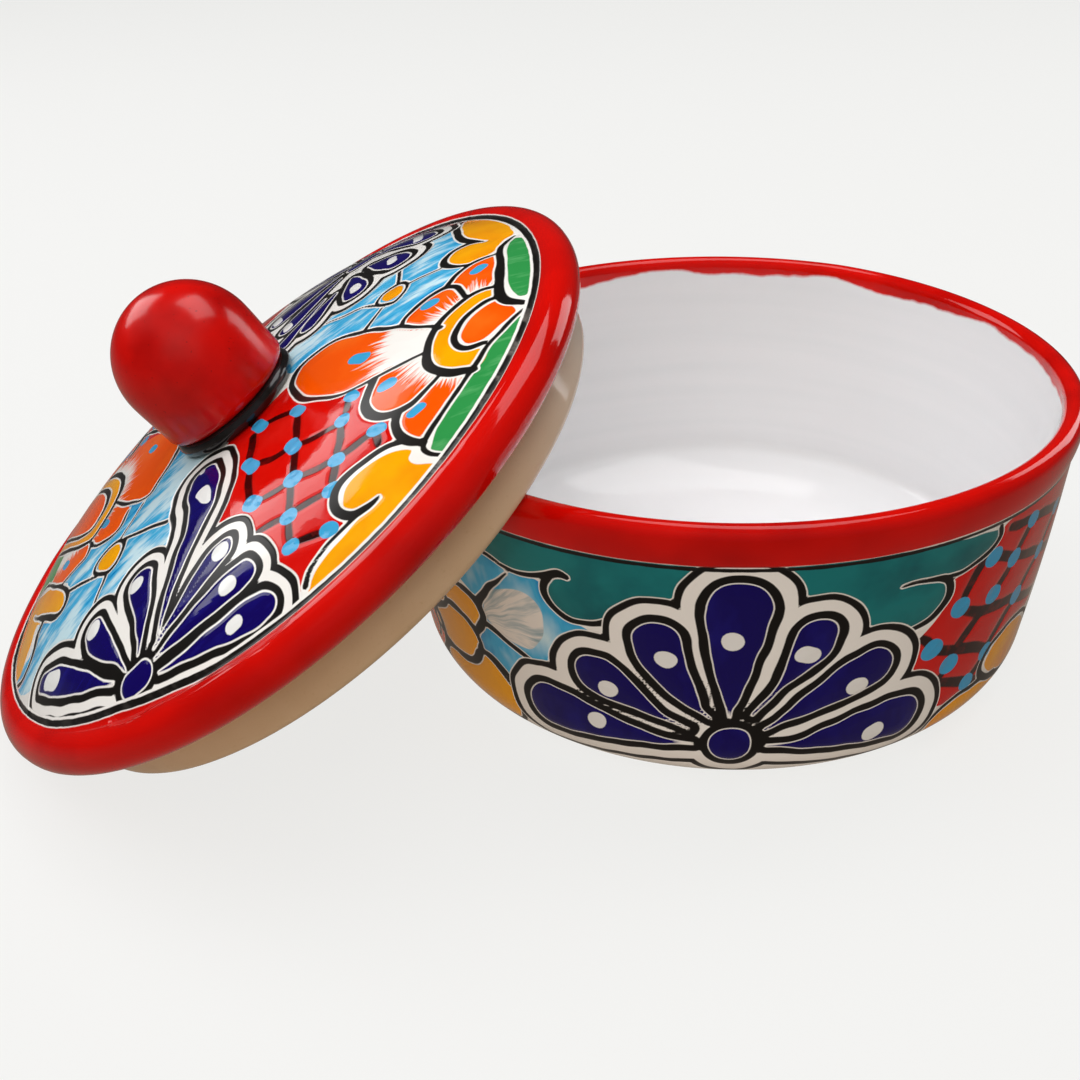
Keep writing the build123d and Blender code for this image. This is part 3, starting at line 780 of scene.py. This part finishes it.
class Value:
    """A number in a material that takes part in sums."""

    def __init__(self, paint, socket):
        self.paint = paint
        self.socket = socket

    def sum(self, operation, first, second):
        socket = self.paint.node("ShaderNodeMath", {0: first, 1: second}, operation=operation)
        return Value(self.paint, socket)

    def __add__(self, other):
        return self.sum("ADD", self, other)

    __radd__ = __add__

    def __sub__(self, other):
        return self.sum("SUBTRACT", self, other)

    def __rsub__(self, other):
        return self.sum("SUBTRACT", other, self)

    def __mul__(self, other):
        return self.sum("MULTIPLY", self, other)

    __rmul__ = __mul__

    def __neg__(self):
        return self.sum("MULTIPLY", self, -1)

    def lesser(self, other):
        return self.sum("MINIMUM", self, other)

    def greater(self, other):
        return self.sum("MAXIMUM", self, other)

    def between(self, low, high):
        """0 at low, 1 at high, and never outside."""
        node_values = {"Value": self, "From Min": low, "From Max": high}
        return Value(self.paint, self.paint.node("ShaderNodeMapRange", node_values, clamp=True))

    def under(self, limit, soft=SOFT):
        """1 where this is under the limit. soft is half of the edge's width."""
        return self.between(limit + soft, limit - soft)


class Paint:
    """The nodes of a material, or of the room's light."""

    def __init__(self, name, owners="materials", shader="Principled BSDF"):
        self.material = getattr(bpy.data, owners).new(name)
        self.material.use_nodes = True
        self.nodes = self.material.node_tree.nodes
        self.links = self.material.node_tree.links
        self.shader = self.nodes[shader]

    def node(self, kind, values=None, output=0, **settings):
        made = self.nodes.new(kind)
        for key, setting in settings.items():
            setattr(made, key, setting)
        self.fill(made, values or {})
        return made.outputs[output]

    def fill(self, made, values):
        for key, value in values.items():
            socket = made.inputs[key]
            if isinstance(value, Value):
                value = value.socket
            if isinstance(value, bpy.types.NodeSocket):
                self.links.new(value, socket)
            else:
                socket.default_value = value

    def set(self, **values):
        self.fill(self.shader, {key.replace("_", " "): value for key, value in values.items()})

    def field(self, name, output="Fac"):
        socket = self.node("ShaderNodeAttribute", output=output, attribute_name=name)
        return Value(self, socket) if output == "Fac" else socket

    def place(self):
        """Object coordinates, in metres."""
        return self.node("ShaderNodeTexCoord", output="Object")

    def stretched(self, vector, scale):
        return self.node("ShaderNodeMapping", {"Vector": vector, "Scale": scale})

    def noise(self, vector, scale, detail=2.0, rough=0.5):
        values = {"Vector": vector, "Scale": scale, "Detail": detail, "Roughness": rough}
        return Value(self, self.node("ShaderNodeTexNoise", values))

    def mix(self, first, second, share):
        values = {"Factor": share, 6: first, 7: second}
        return self.node("ShaderNodeMix", values, output=2, data_type="RGBA")

    def bump(self, height, strength, distance):
        values = {"Height": height, "Strength": strength, "Distance": distance}
        return self.node("ShaderNodeBump", values)


def shade(*screen):
    """A colour as a screen's red, green and blue, turned into amounts of light."""
    light = [c / 255 / 12.92 if c <= 10 else ((c / 255 + 0.055) / 1.055) ** 2.4 for c in screen]
    return (*light, 1.0)


white = shade(247, 244, 239)
cobalt = shade(16, 3, 92)
bright_cobalt = shade(34, 34, 160)
ink_colour = shade(20, 17, 15)
worn_ink = shade(110, 104, 98)
red_glaze = shade(212, 10, 2)
deep_red = shade(168, 2, 0)
rust_colour = shade(40, 6, 6)
orange_glaze = shade(248, 88, 0)
pale_orange = shade(255, 140, 40)
yellow_glaze = shade(252, 172, 0)
deep_yellow = shade(244, 146, 0)
green_glaze = shade(48, 148, 74)
pale_green = shade(120, 196, 132)
sky_blue = shade(70, 178, 226)
deep_sky = shade(0, 132, 200)
pale_sky = shade(206, 236, 246)
teal_glaze = shade(24, 122, 124)
deep_teal = shade(12, 94, 100)
dot_blue = shade(62, 166, 216)
pearl_white = shade(240, 240, 238)
bare_clay = shade(214, 184, 148)
dark_clay = shade(203, 170, 132)


def clay(paint):
    place = paint.place()
    clouds = paint.noise(place, 26, 3)
    grain = paint.noise(place, 700, 3, 0.7)
    body = paint.mix(bare_clay, dark_clay, clouds.between(0.35, 0.7))
    return paint.mix(body, shade(186, 150, 112), grain.between(0.6, 0.8) * 0.4)


def rim_red(paint, scale, share):
    """Red glaze with darker pools. scale is how small they are, and share how dark."""
    pool = paint.noise(paint.place(), scale, 2)
    return paint.mix(red_glaze, deep_red, pool.between(0.45, 0.75) * share)


def painted(paint, halo, rings, sweep_scale, calm):
    """The painted ground: glaze cells, their outlines and the fans. Returns colour, raised glaze and ink.

    halo is how far white shows round the ink. rings are the distances from a fan's blue petals at which its
    two outlines start and end. sweep_scale stretches the sky's strokes, and calm is how little they differ.
    """
    in_start, in_end, out_start, out_end = rings
    place = paint.place()
    soft = paint.noise(place, 55, 3)
    fine = paint.noise(place, 300, 3)
    brush = paint.field("brush", "Vector")
    along = Value(paint, paint.node("ShaderNodeSeparateXYZ", {"Vector": brush}, output=0))
    streak = paint.noise(paint.stretched(brush, (0.05, 0.9, 3.0)), 1.0, 3, 0.6)
    wide_streak = paint.noise(paint.stretched(brush, (0.04, 0.3, 3.0)), 1.0, 3, 0.6)
    sweep = paint.noise(paint.stretched(place, sweep_scale), 1.0, 3, 0.65)
    wobble = (paint.noise(place, 130, 2) - 0.5) * 0.5
    ink = paint.field("ink") + wobble
    fan = paint.field("fan") + wobble
    rust = paint.field("rust") + wobble
    colour = paint.mix(white, shade(226, 220, 212), soft.between(0.4, 0.75) * 0.5)

    def lay(over, name):
        """The colour so far, with another over it where that area is painted."""
        return paint.mix(colour, over, paint.field(name).under(0))

    depth = sweep * 2.1 + paint.field("ink") * 0.05 - 0.76
    sky = paint.mix(deep_sky, sky_blue, depth.between(-0.05, 0.3))
    colour = lay(paint.mix(sky, pale_sky, depth.between(0.4, 0.8 + calm)), "sky")
    colour = lay(paint.mix(deep_teal, teal_glaze, soft.between(0.3, 0.6)), "teal")
    mist = paint.mix(shade(240, 234, 226), shade(104, 152, 168), wide_streak.between(0.44, 0.66) * 0.8)
    # Towards its left end, where its strokes start, the mist is painted brown: painted shade, as under the
    # leaning lid
    colour = lay(paint.mix(mist, shade(158, 140, 124), (8 - along).between(0, 9) * 0.6), "mist")
    colour = lay(paint.mix(green_glaze, pale_green, sweep.between(0.5, 0.8) * 0.6), "green")
    colour = lay(paint.mix(yellow_glaze, deep_yellow, soft.between(0.4, 0.7)), "yellow")
    colour = lay(white, "orange")
    orange = paint.mix(orange_glaze, pale_orange, soft.between(0.45, 0.8) * 0.35)
    feather = (along + (streak - 0.5) * 26).between(-2.2, 1.6)
    colour = paint.mix(colour, orange, paint.field("orange").under(0) * feather)
    # The red has lighter patches at random: partly the glaze's own tone, partly a painted sheen
    red = paint.mix(red_glaze, shade(226, 40, 30), soft.between(0.45, 0.8) * 0.6)
    red = paint.mix(red, rust_colour, rust.under(0.3, 0.3) * (fine.between(0.2, 0.5) * 0.2 + 0.8))
    colour = lay(red, "red")
    amber = (streak + soft - along * 0.03).between(0.75, 1.35)
    colour = lay(paint.mix(yellow_glaze, orange_glaze, amber), "amber")

    # Ink over the cells, with dots under it, and the fans over everything
    colour = paint.mix(colour, white, ink.under(halo))
    colour = paint.mix(colour, dot_blue, (paint.field("dot") + wobble).under(0))
    inked = ink.under(0)
    colour = paint.mix(colour, ink_colour, inked)
    colour = paint.mix(colour, white, fan.under(out_end + halo))
    outline = fan.between(in_start - SOFT, in_start + SOFT) * fan.under(in_end)
    outline = outline + fan.between(out_start - SOFT, out_start + SOFT) * fan.under(out_end)
    colour = paint.mix(colour, ink_colour, outline)
    blue = paint.mix(cobalt, bright_cobalt, sweep.between(0.5, 0.8) * 0.35)
    colour = paint.mix(colour, blue, fan.under(0))
    pearl = paint.field("pearl") + wobble
    colour = paint.mix(colour, pearl_white, pearl.under(0) * fan.under(0.4))
    inked = (inked * fan.between(out_end, out_end + 0.5) + outline).lesser(1)

    # Glaze stands up between the lines
    cell = ink.lesser(rust)
    raised = cell.between(0, 1.4) * 0.6 + cell.between(0, 6) * 0.9
    raised = raised * fan.between(out_end - 0.5, out_end + 1) + fan.under(0, 0.9) + (-fan).between(0, 4)
    return colour, raised, inked


def finish(paint, colour, raised, inked):
    """Glass-smooth glaze over the paint, a little raised between the drier outlines."""
    waves = paint.noise(paint.place(), 34, 2)
    height = raised * 0.7 + waves * 0.5
    paint.set(Base_Color=colour, Roughness=inked * 0.2 + 0.08, Coat_Weight=0.2 - inked * 0.15,
              Coat_Roughness=0.05, Specular_IOR_Level=0.34, Normal=paint.bump(height, 0.6, 0.0006))


def lid_glaze():
    paint = Paint("lid glaze")
    colour, raised, inked = painted(paint, halo=0.6, rings=(0.6, 2.9, 5.6, 7.8),
                                    sweep_scale=(60, 260, 60), calm=0)
    place = paint.place()
    ragged = (paint.noise(place, 220, 3) - 0.5) * 0.9
    ring = paint.field("ring") + ragged * 0.5
    edge = paint.field("edge")
    colour = paint.mix(colour, white, ring.under(0.9))
    dry = paint.noise(paint.stretched(place, (90, 90, 400)), 1.0, 3, 0.7)
    worn = dry.between(0.5, 0.66) * paint.field("worn")
    colour = paint.mix(colour, paint.mix(ink_colour, worn_ink, worn), ring.under(0))
    inked = inked.greater(ring.under(0))
    colour = paint.mix(colour, rim_red(paint, 40, 0.5), (0.35 - edge - ragged * 0.4).under(0, 0.2))
    # Painted glare: the bare flange is painted paler where the field pale is high, round its uphill side
    flange = paint.mix(clay(paint), shade(214, 202, 190), paint.field("pale") * 0.75)
    colour = paint.mix(colour, flange, (paint.field("bare") + ragged).between(-0.4, 0.4))
    finish(paint, colour, raised, inked)
    return paint.material


def dish_glaze():
    paint = Paint("dish glaze")
    colour, raised, inked = painted(paint, halo=0.4, rings=(0.4, 3.1, 7.0, 9.2),
                                    sweep_scale=(60, 60, 30), calm=0.3)
    place = paint.place()
    ragged = (paint.noise(place, 160, 3) - 0.5) * 1.4
    edge = paint.field("edge")
    neck = paint.field("neck") + ragged * 0.4
    colour = paint.mix(colour, ink_colour, neck.under(0.7))
    colour = paint.mix(colour, rim_red(paint, 36, 0.6), (1.2 - edge + ragged * 0.2).under(0, 0.2))
    rings = paint.noise(paint.stretched(place, (8, 8, 160)), 1.0, 2)
    lining = paint.mix(shade(238, 238, 240), shade(234, 235, 237), rings.between(0.35, 0.75))
    waves = (paint.noise(place, 30, 2) - 0.5) * 9
    colour = paint.mix(colour, lining, (paint.field("inside") + waves + ragged).between(-0.5, 0.5))
    colour = paint.mix(colour, clay(paint), (paint.field("bare") + ragged).between(-0.5, 0.5))
    finish(paint, colour, raised, inked)
    return paint.material


def knob_glaze():
    paint = Paint("knob glaze")
    place = paint.place()
    pool = paint.noise(place, 45, 3)
    specks = paint.noise(place, 900, 2)
    colour = paint.mix(red_glaze, deep_red, pool.between(0.4, 0.7))
    colour = paint.mix(colour, shade(96, 6, 6), specks.between(0.68, 0.74) * 0.5)
    paint.set(Base_Color=colour, Roughness=pool * 0.1 + 0.15, Coat_Weight=0.15, Coat_Roughness=0.05,
              Specular_IOR_Level=0.4, Normal=paint.bump(pool, 0.3, 0.001))
    return paint.material


def collar_glaze():
    paint = Paint("collar glaze")
    place = paint.place()
    pool = paint.noise(place, 90, 3)
    colour = paint.mix(ink_colour, shade(48, 46, 50), pool.between(0.4, 0.7))
    paint.set(Base_Color=colour, Roughness=pool * 0.1 + 0.06, Coat_Weight=0.2, Coat_Roughness=0.03,
              Normal=paint.bump(pool, 0.4, 0.001))
    return paint.material


# Sections: the lid's has its axis upright, and the middle plane of its rolled edge at height 0


def tangent_arc(start, direction, end, count):
    """Points on the arc that leaves start in a direction and reaches end, the first one left out."""
    dx, dy = end[0] - start[0], end[1] - start[1]
    size = hypot(*direction)
    tx, ty = direction[0] / size, direction[1] / size
    across = dy * tx - dx * ty
    radius = (dx * dx + dy * dy) / (2 * across)
    centre = (start[0] - ty * radius, start[1] + tx * radius)
    first = atan2(start[1] - centre[1], start[0] - centre[0])
    last = atan2(end[1] - centre[1], end[0] - centre[0])
    turn = (last - first) % (2 * pi) if radius > 0 else -((first - last) % (2 * pi))
    angles = [first + turn * i / count for i in range(1, count + 1)]
    radius = abs(radius)
    return [(centre[0] + radius * cos(a), centre[1] + radius * sin(a)) for a in angles], centre, radius


def crown_points(ball, start, end, count):
    """Points on a ball about the crown's centre, between two distances from the axis, the first one left out."""
    return [(r, crown_centre + sqrt(ball**2 - r**2)) for r in np.linspace(start, end, count + 1)[1:]]


def lid_section():
    """The section, and where in it the pattern's ring and the bare flange start."""
    section = [(0, crown_height)] + run((0, crown_height), (under_knob, crown_height), 5)
    section += run((under_knob, crown_height), (seat_radius, crown_height), 8)
    section += crown_points(crown_ball, seat_radius, shoulder_radius, 33)
    down_crown = (section[-1][1] - crown_centre, -section[-1][0])
    section += tangent_arc(section[-1], down_crown, (ring_radius, ring_height), 52)[0]
    ring_at = len(section) - 1
    roll_start = degrees(atan2(ring_height, ring_radius - roll_centre))
    section += arc((roll_centre, 0), roll_round, roll_start, -90, roll_steps)
    fillet_start = flange_radius + flange_fillet
    section += run((roll_centre, -roll_round), (fillet_start, -roll_round), 3)
    bare_at = len(section) - 1
    section += arc((fillet_start, -roll_round - flange_fillet), flange_fillet, 90, 180, fillet_steps)
    edge_height = flange_round - flange_depth
    section += run(section[-1], (flange_radius, edge_height), 8)
    section += arc((flange_radius - flange_round, edge_height), flange_round, 0, -90, 6)
    section += run(section[-1], (flange_inside + flange_round, -flange_depth), 1)
    section += arc((flange_inside + flange_round, edge_height), flange_round, -90, -180, 6)

    # The hollow: up the flange, round a fillet into the ceiling's bend, and over to the axis
    turn = shoulder_radius * ceiling_ball / crown_ball
    ceiling_end = (turn, crown_centre + sqrt(ceiling_ball**2 - turn**2))
    down_ceiling = (ceiling_end[1] - crown_centre, -turn)
    bend, centre, radius = tangent_arc(ceiling_end, down_ceiling, (flange_inside, ceiling_edge_height), 16)
    fillet_x = flange_inside - ceiling_fillet
    fillet_y = centre[1] + sqrt((radius - ceiling_fillet) ** 2 - (fillet_x - centre[0]) ** 2)
    section += run(section[-1], (flange_inside, fillet_y), 6)
    fillet_end = degrees(atan2(fillet_y - centre[1], fillet_x - centre[0]))
    section += arc((fillet_x, fillet_y), ceiling_fillet, 0, fillet_end, 7)
    stop = section[-1][0] - 1
    section += [p for p in reversed(bend) if p[0] < stop]
    section += [ceiling_end] + crown_points(ceiling_ball, turn, 0, 12)
    return section, ring_at, bare_at


def dish_section():
    """The section, and where in it the heel, the neck and the inside start."""
    heel_x = base_radius + wall_lean * heel_round - heel_round * hypot(1, wall_lean)
    section = [(0, 0)] + run((0, 0), (heel_x, 0), 8)
    heel_at = len(section) - 1
    section += arc((heel_x, heel_round), heel_round, -90, -degrees(atan2(wall_lean, 1)), 31)
    section += run(section[-1], (neck_radius, neck_height), 69)
    neck_at = len(section) - 1
    lip_height = dish_height - lip_round
    band = tangent_arc((rim_radius, lip_height), (0, -1), (neck_radius, neck_height), 10)[0]
    section += band[-2::-1] + [(rim_radius, lip_height)]
    section += arc((rim_radius - lip_round, lip_height), lip_round, 0, 180, 16)
    inside_at = len(section) - 1

    # Inside: down to the crease, round the bowl, over the low ring, and up onto the button
    lean_in = (mouth_radius - inside_corner) / (lip_height - floor_height)
    crease = (inside_corner + lean_in * (crease_height - floor_height), crease_height)
    bowl = (crease_height - floor_height) / (1 - cos(radians(bowl_turn)))
    bowl_x = crease[0] - bowl * sin(radians(bowl_turn))
    section += run(section[-1], crease, 26)
    section += arc((bowl_x, floor_height + bowl), bowl, bowl_turn - 90, -90, 14)
    for t in np.linspace(-1, 1, 9):
        section.append((throwing_ring - ring_half * t, floor_height + ring_rise * (1 + cos(pi * t)) / 2))
    section += run(section[-1], (button_radius + button_slope, floor_height), 4)
    for t in (0.25, 0.5, 0.75, 1):
        rise = button_height * t * t * (3 - 2 * t)
        section.append((button_radius + button_slope * (1 - t), floor_height + rise))
    section += run(section[-1], (0, floor_height + button_height), 3)
    return section, heel_at, neck_at, inside_at


def lengths(section):
    """Length along a section up to each of its points."""
    steps = [hypot(b[0] - a[0], b[1] - a[1]) for a, b in zip(section, section[1:])]
    return np.concatenate([[0], np.cumsum(steps)])


def along_section(co, section):
    """Length along the section at each vertex, from the section's nearest point."""
    reach = lengths(section)
    line = np.array(section)
    radius = np.hypot(co[:, 0], co[:, 1])
    result = np.empty(len(co))
    for block in np.array_split(np.arange(len(co)), 60):
        away = np.hypot(radius[block, None] - line[:, 0], co[block, 2, None] - line[:, 1])
        result[block] = reach[away.argmin(1)]
    return result


def angles_round(co):
    """Degrees round the upright axis, from -180 to 180."""
    return np.degrees(np.arctan2(co[:, 1], co[:, 0]))


def keep_drawing(mesh, art, shown):
    """Stores a drawing on the vertices that show it. The names are those that the glazes read."""
    names = ("ink", "fan", "pearl", "dot", "red", "rust", "orange", "amber", "yellow", "green", "sky", "teal",
             "mist")
    for name in names:
        values = np.full(len(mesh.vertices), FAR)
        values[shown] = art.layer(name)
        keep_value(mesh, name, values)
    brush = np.zeros((len(mesh.vertices), 3))
    brush[shown] = art.brush
    keep_value(mesh, "brush", brush)


def hand_wobble(x, y, size=0.35, reach=11):
    """Moves the places of a drawing a little, as a hand does. size and reach are in millimetres."""
    shifts = []
    for _ in range(2):
        total = np.zeros(len(x))
        for _ in range(4):
            angle, phase = random.uniform(0, 2 * pi, 2)
            total += np.sin((x * cos(angle) + y * sin(angle)) * 2 * pi / reach + phase)
        shifts.append(total * size / 4)
    return x + shifts[0], y + shifts[1]


def make_lid():
    section, ring_at, bare_at = lid_section()
    dome = np.array(section[: ring_at + roll_steps // 3])

    def is_painted(r, h):
        """The top of the dome, from under the knob to the start of the roll."""
        return under_knob + 1 < r < 113.6 and h > np.interp(r, dome[:, 0], dome[:, 1]) - 3

    lid_shell = turn_piece("lid_shell", section, is_painted)
    mesh = lid_shell.data
    co = coordinates(mesh)
    reach = lengths(section)
    s = along_section(co, section)
    angle = angles_round(co) % 360

    # The ink ring strays from the line where the dome meets the roll
    ring_angles, widths = zip(*ring_ink)
    half = np.interp(angle, ring_angles, widths) / 2
    stray = np.interp(angle, (0, 90, 120, 150, 180, 200, 218, 227, 238, 250, 259, 275, 290, 315, 340, 360),
                      (0, 0, -1, -1.2, 0.4, -0.8, -1.6, -2.5, -3.5, -2.5, -0.8, 0, 0.4, 0.2, 0, 0))
    from_ring = s - reach[ring_at] - stray
    keep_value(mesh, "ring", np.abs(from_ring) - half)
    keep_value(mesh, "edge", from_ring - half)
    keep_value(mesh, "worn", np.interp(angle, (0, 285, 300, 325, 345, 360), (0.1, 0.15, 1, 1, 0.3, 0.1)))
    keep_value(mesh, "bare", s - reach[bare_at])
    # How much of the painted glare the flange gets, by angle: most round angle 0, the uphill side
    keep_value(mesh, "pale", np.interp(angle, (0, 40, 300, 345, 360), (1, 0.2, 0, 1, 1)))

    # Pressed by hand, the lid isn't quite round, though its flange is
    stations = (reach[ring_at] - 50, reach[ring_at], reach[ring_at + 2 * roll_steps // 3],
                reach[bare_at + fillet_steps])
    outward = np.interp(angle, (0, 50, 90, 120, 150, 180, 210, 240, 300, 360),
                        (-1, -0.5, 0.6, 3, 5.6, 4, 1.6, 0.4, 0, -1))
    outward *= np.interp(s, stations, (0, 0.8, 1, 0))
    co[:, 0] += outward * np.cos(np.radians(angle))
    co[:, 1] += outward * np.sin(np.radians(angle))
    mesh.vertices.foreach_set("co", co.ravel())
    shown = np.nonzero(s < reach[ring_at] + 7)[0]
    x, y = hand_wobble(co[shown, 0], co[shown, 1])
    keep_drawing(mesh, draw_lid(x, y), shown)
    leaning = Matrix.Rotation(-lid_tilt, 4, "Y") @ Matrix.Scale(MM, 4)
    mesh.transform(Matrix.Translation(Vector(lid_centre) * MM) @ leaning)
    mesh.materials.append(lid_glaze())
    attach(lid_shell, "lid")
    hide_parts("lid")


def make_dish():
    section, heel_at, neck_at, inside_at = dish_section()

    def is_painted(r, h):
        """The outside of the wall, and of the heel's round under it."""
        return 2.5 < h < neck_height + 1 and r > min(base_radius - 3.5 + wall_lean * h, 93 + h)

    dish_shell = turn_piece("dish_shell", section, is_painted)
    mesh = dish_shell.data
    co = coordinates(mesh)
    reach = lengths(section)
    s = along_section(co, section)
    keep_value(mesh, "edge", s - reach[neck_at])
    keep_value(mesh, "neck", np.abs(s - reach[neck_at]))
    # Behind, the red of the rim has run further down inside
    run_down = np.interp(angles_round(co) % 360, (0, 52, 74, 82, 89, 98, 118, 145, 180, 360),
                         (0.5, 1, 1, -0.8, 0.6, 3.2, 5, 5, 0.5, 0.5))
    keep_value(mesh, "inside", s - reach[inside_at] - 0.6 - run_down)
    keep_value(mesh, "bare", reach[heel_at + 4] - s)

    # Its wall stands a little off centre and fuller on one side
    below = np.where(s < reach[neck_at], neck_height - co[:, 2], 0)
    co[:, 0] += below * off_centre
    side = np.clip(co[:, 0] / neck_radius, 0, 1) ** 2
    co[:, 0] += side * wall_belly * np.sin(pi * np.clip(below / neck_height, 0, 1))
    shown = np.nonzero((s < reach[neck_at] + 2) & (s > reach[heel_at + 1]))[0]
    folded = ((angles_round(co[shown]) - fold_start) % 180 + fold_start) * wall_mm
    x, y = hand_wobble(folded, co[shown, 2])
    keep_drawing(mesh, draw_dish(x, y), shown)

    # Its rim rises at the back, but not where the lid leans on it
    rise = np.clip((co[:, 2] - 50) / 50, 0, 1) * np.clip(co[:, 1] / 110 + 0.2, 0, 1) ** 2
    rise *= np.clip((co[:, 0] + 88) / 30, 0, 1)
    co[:, 2] += rise * rim_rise
    mesh.vertices.foreach_set("co", co.ravel())
    mesh.transform(Matrix.Scale(MM, 4))
    mesh.materials.append(dish_glaze())
    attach(dish_shell, "dish")
    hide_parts("dish")


make_lid()
make_dish()
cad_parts["knob"].material_slots[0].material = knob_glaze()
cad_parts["knob_collar"].material_slots[0].material = collar_glaze()


# Studio: a pale floor under a pale dome, kept out of the pieces' light and reflections, and soft window light


def studio_paint():
    paint = Paint("backdrop")
    paint.set(Base_Color=shade(96, 96, 96), Roughness=0.9, Specular_IOR_Level=0.0,
              Emission_Color=shade(243, 243, 241), Emission_Strength=0.87)
    return paint.material


floor_bm = bmesh.new()
bmesh.ops.create_grid(floor_bm, x_segments=2, y_segments=2, size=6)
dome_bm = bmesh.new()
bmesh.ops.create_icosphere(dome_bm, subdivisions=4, radius=5.5)
bmesh.ops.reverse_faces(dome_bm, faces=dome_bm.faces)
pale_paint = studio_paint()
for name, bm in (("floor", floor_bm), ("backdrop", dome_bm)):
    mesh = bpy.data.meshes.new(name)
    bm.to_mesh(mesh)
    bm.free()
    mesh.materials.append(pale_paint)
    wall = bpy.data.objects.new(name, mesh)
    wall.visible_diffuse = False
    wall.visible_glossy = False
    wall.visible_shadow = False
    bpy.context.scene.collection.objects.link(wall)


def lamp(name, at, towards, size, brightness):
    """A rectangular soft light. brightness is its own, so a larger one gives more light."""
    light = bpy.data.lights.new(name, "AREA")
    light.shape = "RECTANGLE"
    light.size, light.size_y = size
    light.energy = brightness * pi * size[0] * size[1]
    holder = bpy.data.objects.new(name, light)
    holder.location = at
    holder.rotation_euler = (Vector(towards) - Vector(at)).to_track_quat("-Z", "Y").to_euler()
    bpy.context.scene.collection.objects.link(holder)
    return holder


lamp("left window", (-1.08, 1.0, 0.9), (-0.1, 0, 0.06), (0.8, 0.8), 2.5)
lamp("right window", (1.35, 0.7, 0.8), (0, 0, 0.06), (0.6, 0.9), 2.5)
lamp("ceiling window", (0.3, 0.35, 1.8), (-0.1, 0, 0.06), (1.3, 0.9), 2.2)
cool = (1.0, 1.0, 1.0)
warm = (1.0, 0.93, 0.84)
clay_tone = (1.0, 0.84, 0.7)
fills = (
    ("ceiling", (-0.3, -0.2, 1.6), (2.2, 2.0), 1.5, cool),
    ("left", (-1.3, 0.5, 1.0), (1.0, 1.0), 1.7, cool),
    ("bounce", (-0.2, -0.7, -0.7), (2.4, 1.4), 0.7, clay_tone),
    ("front", (-0.3, -1.5, 1.2), (2.0, 1.2), 1.3, warm),
)
for name, at, size, brightness, colour in fills:
    fill = lamp(name, at, (0, 0, 0.06), size, brightness)
    fill.visible_glossy = False
    fill.data.color = colour


def room_light():
    """Dim, brighter at the front above the horizon and over the pale floor behind."""
    room = Paint("room", "worlds", "Background")
    direction = room.node("ShaderNodeTexCoord", output="Generated")
    back = Value(room, room.node("ShaderNodeSeparateXYZ", {"Vector": direction}, output="Y"))
    height = Value(room, room.node("ShaderNodeSeparateXYZ", {"Vector": direction}, output="Z"))
    above = height.between(-0.45, -0.05)
    front = (1 - back) * 0.5
    upper = front * front * 0.1 + 0.03
    lower = 0.3 - front * 0.22
    tint = room.mix((*clay_tone, 1.0), (0.97, 0.99, 1.0, 1.0), above)
    room.set(Color=tint, Strength=upper * above + lower * (1 - above))
    return room.material


bpy.context.scene.world = room_light()
bpy.context.scene.view_settings.view_transform = "Standard"

# Camera, fitted to the photograph: its angles in radians, its lens in millimetres, its place in metres
pitch, roll, yaw = 0.49696, -0.03135, 0.16782
lens = 49.12
camera_place = (-0.140475, -0.449770, 0.289027)
forward = Vector((sin(yaw) * cos(pitch), cos(yaw) * cos(pitch), -sin(pitch)))
level = Vector((cos(yaw), -sin(yaw), 0))
upward = level.cross(forward)
right = level * cos(roll) + upward * sin(roll)
up = upward * cos(roll) - level * sin(roll)
camera_data = bpy.data.cameras.new("camera")
camera_data.lens = lens
camera_data.sensor_width = 36
camera_data.clip_start = 0.01
camera = bpy.data.objects.new("camera", camera_data)
axes = Matrix((right, up, -forward)).transposed().to_4x4()
camera.matrix_world = Matrix.Translation(camera_place) @ axes
bpy.context.scene.collection.objects.link(camera)
bpy.context.scene.camera = camera
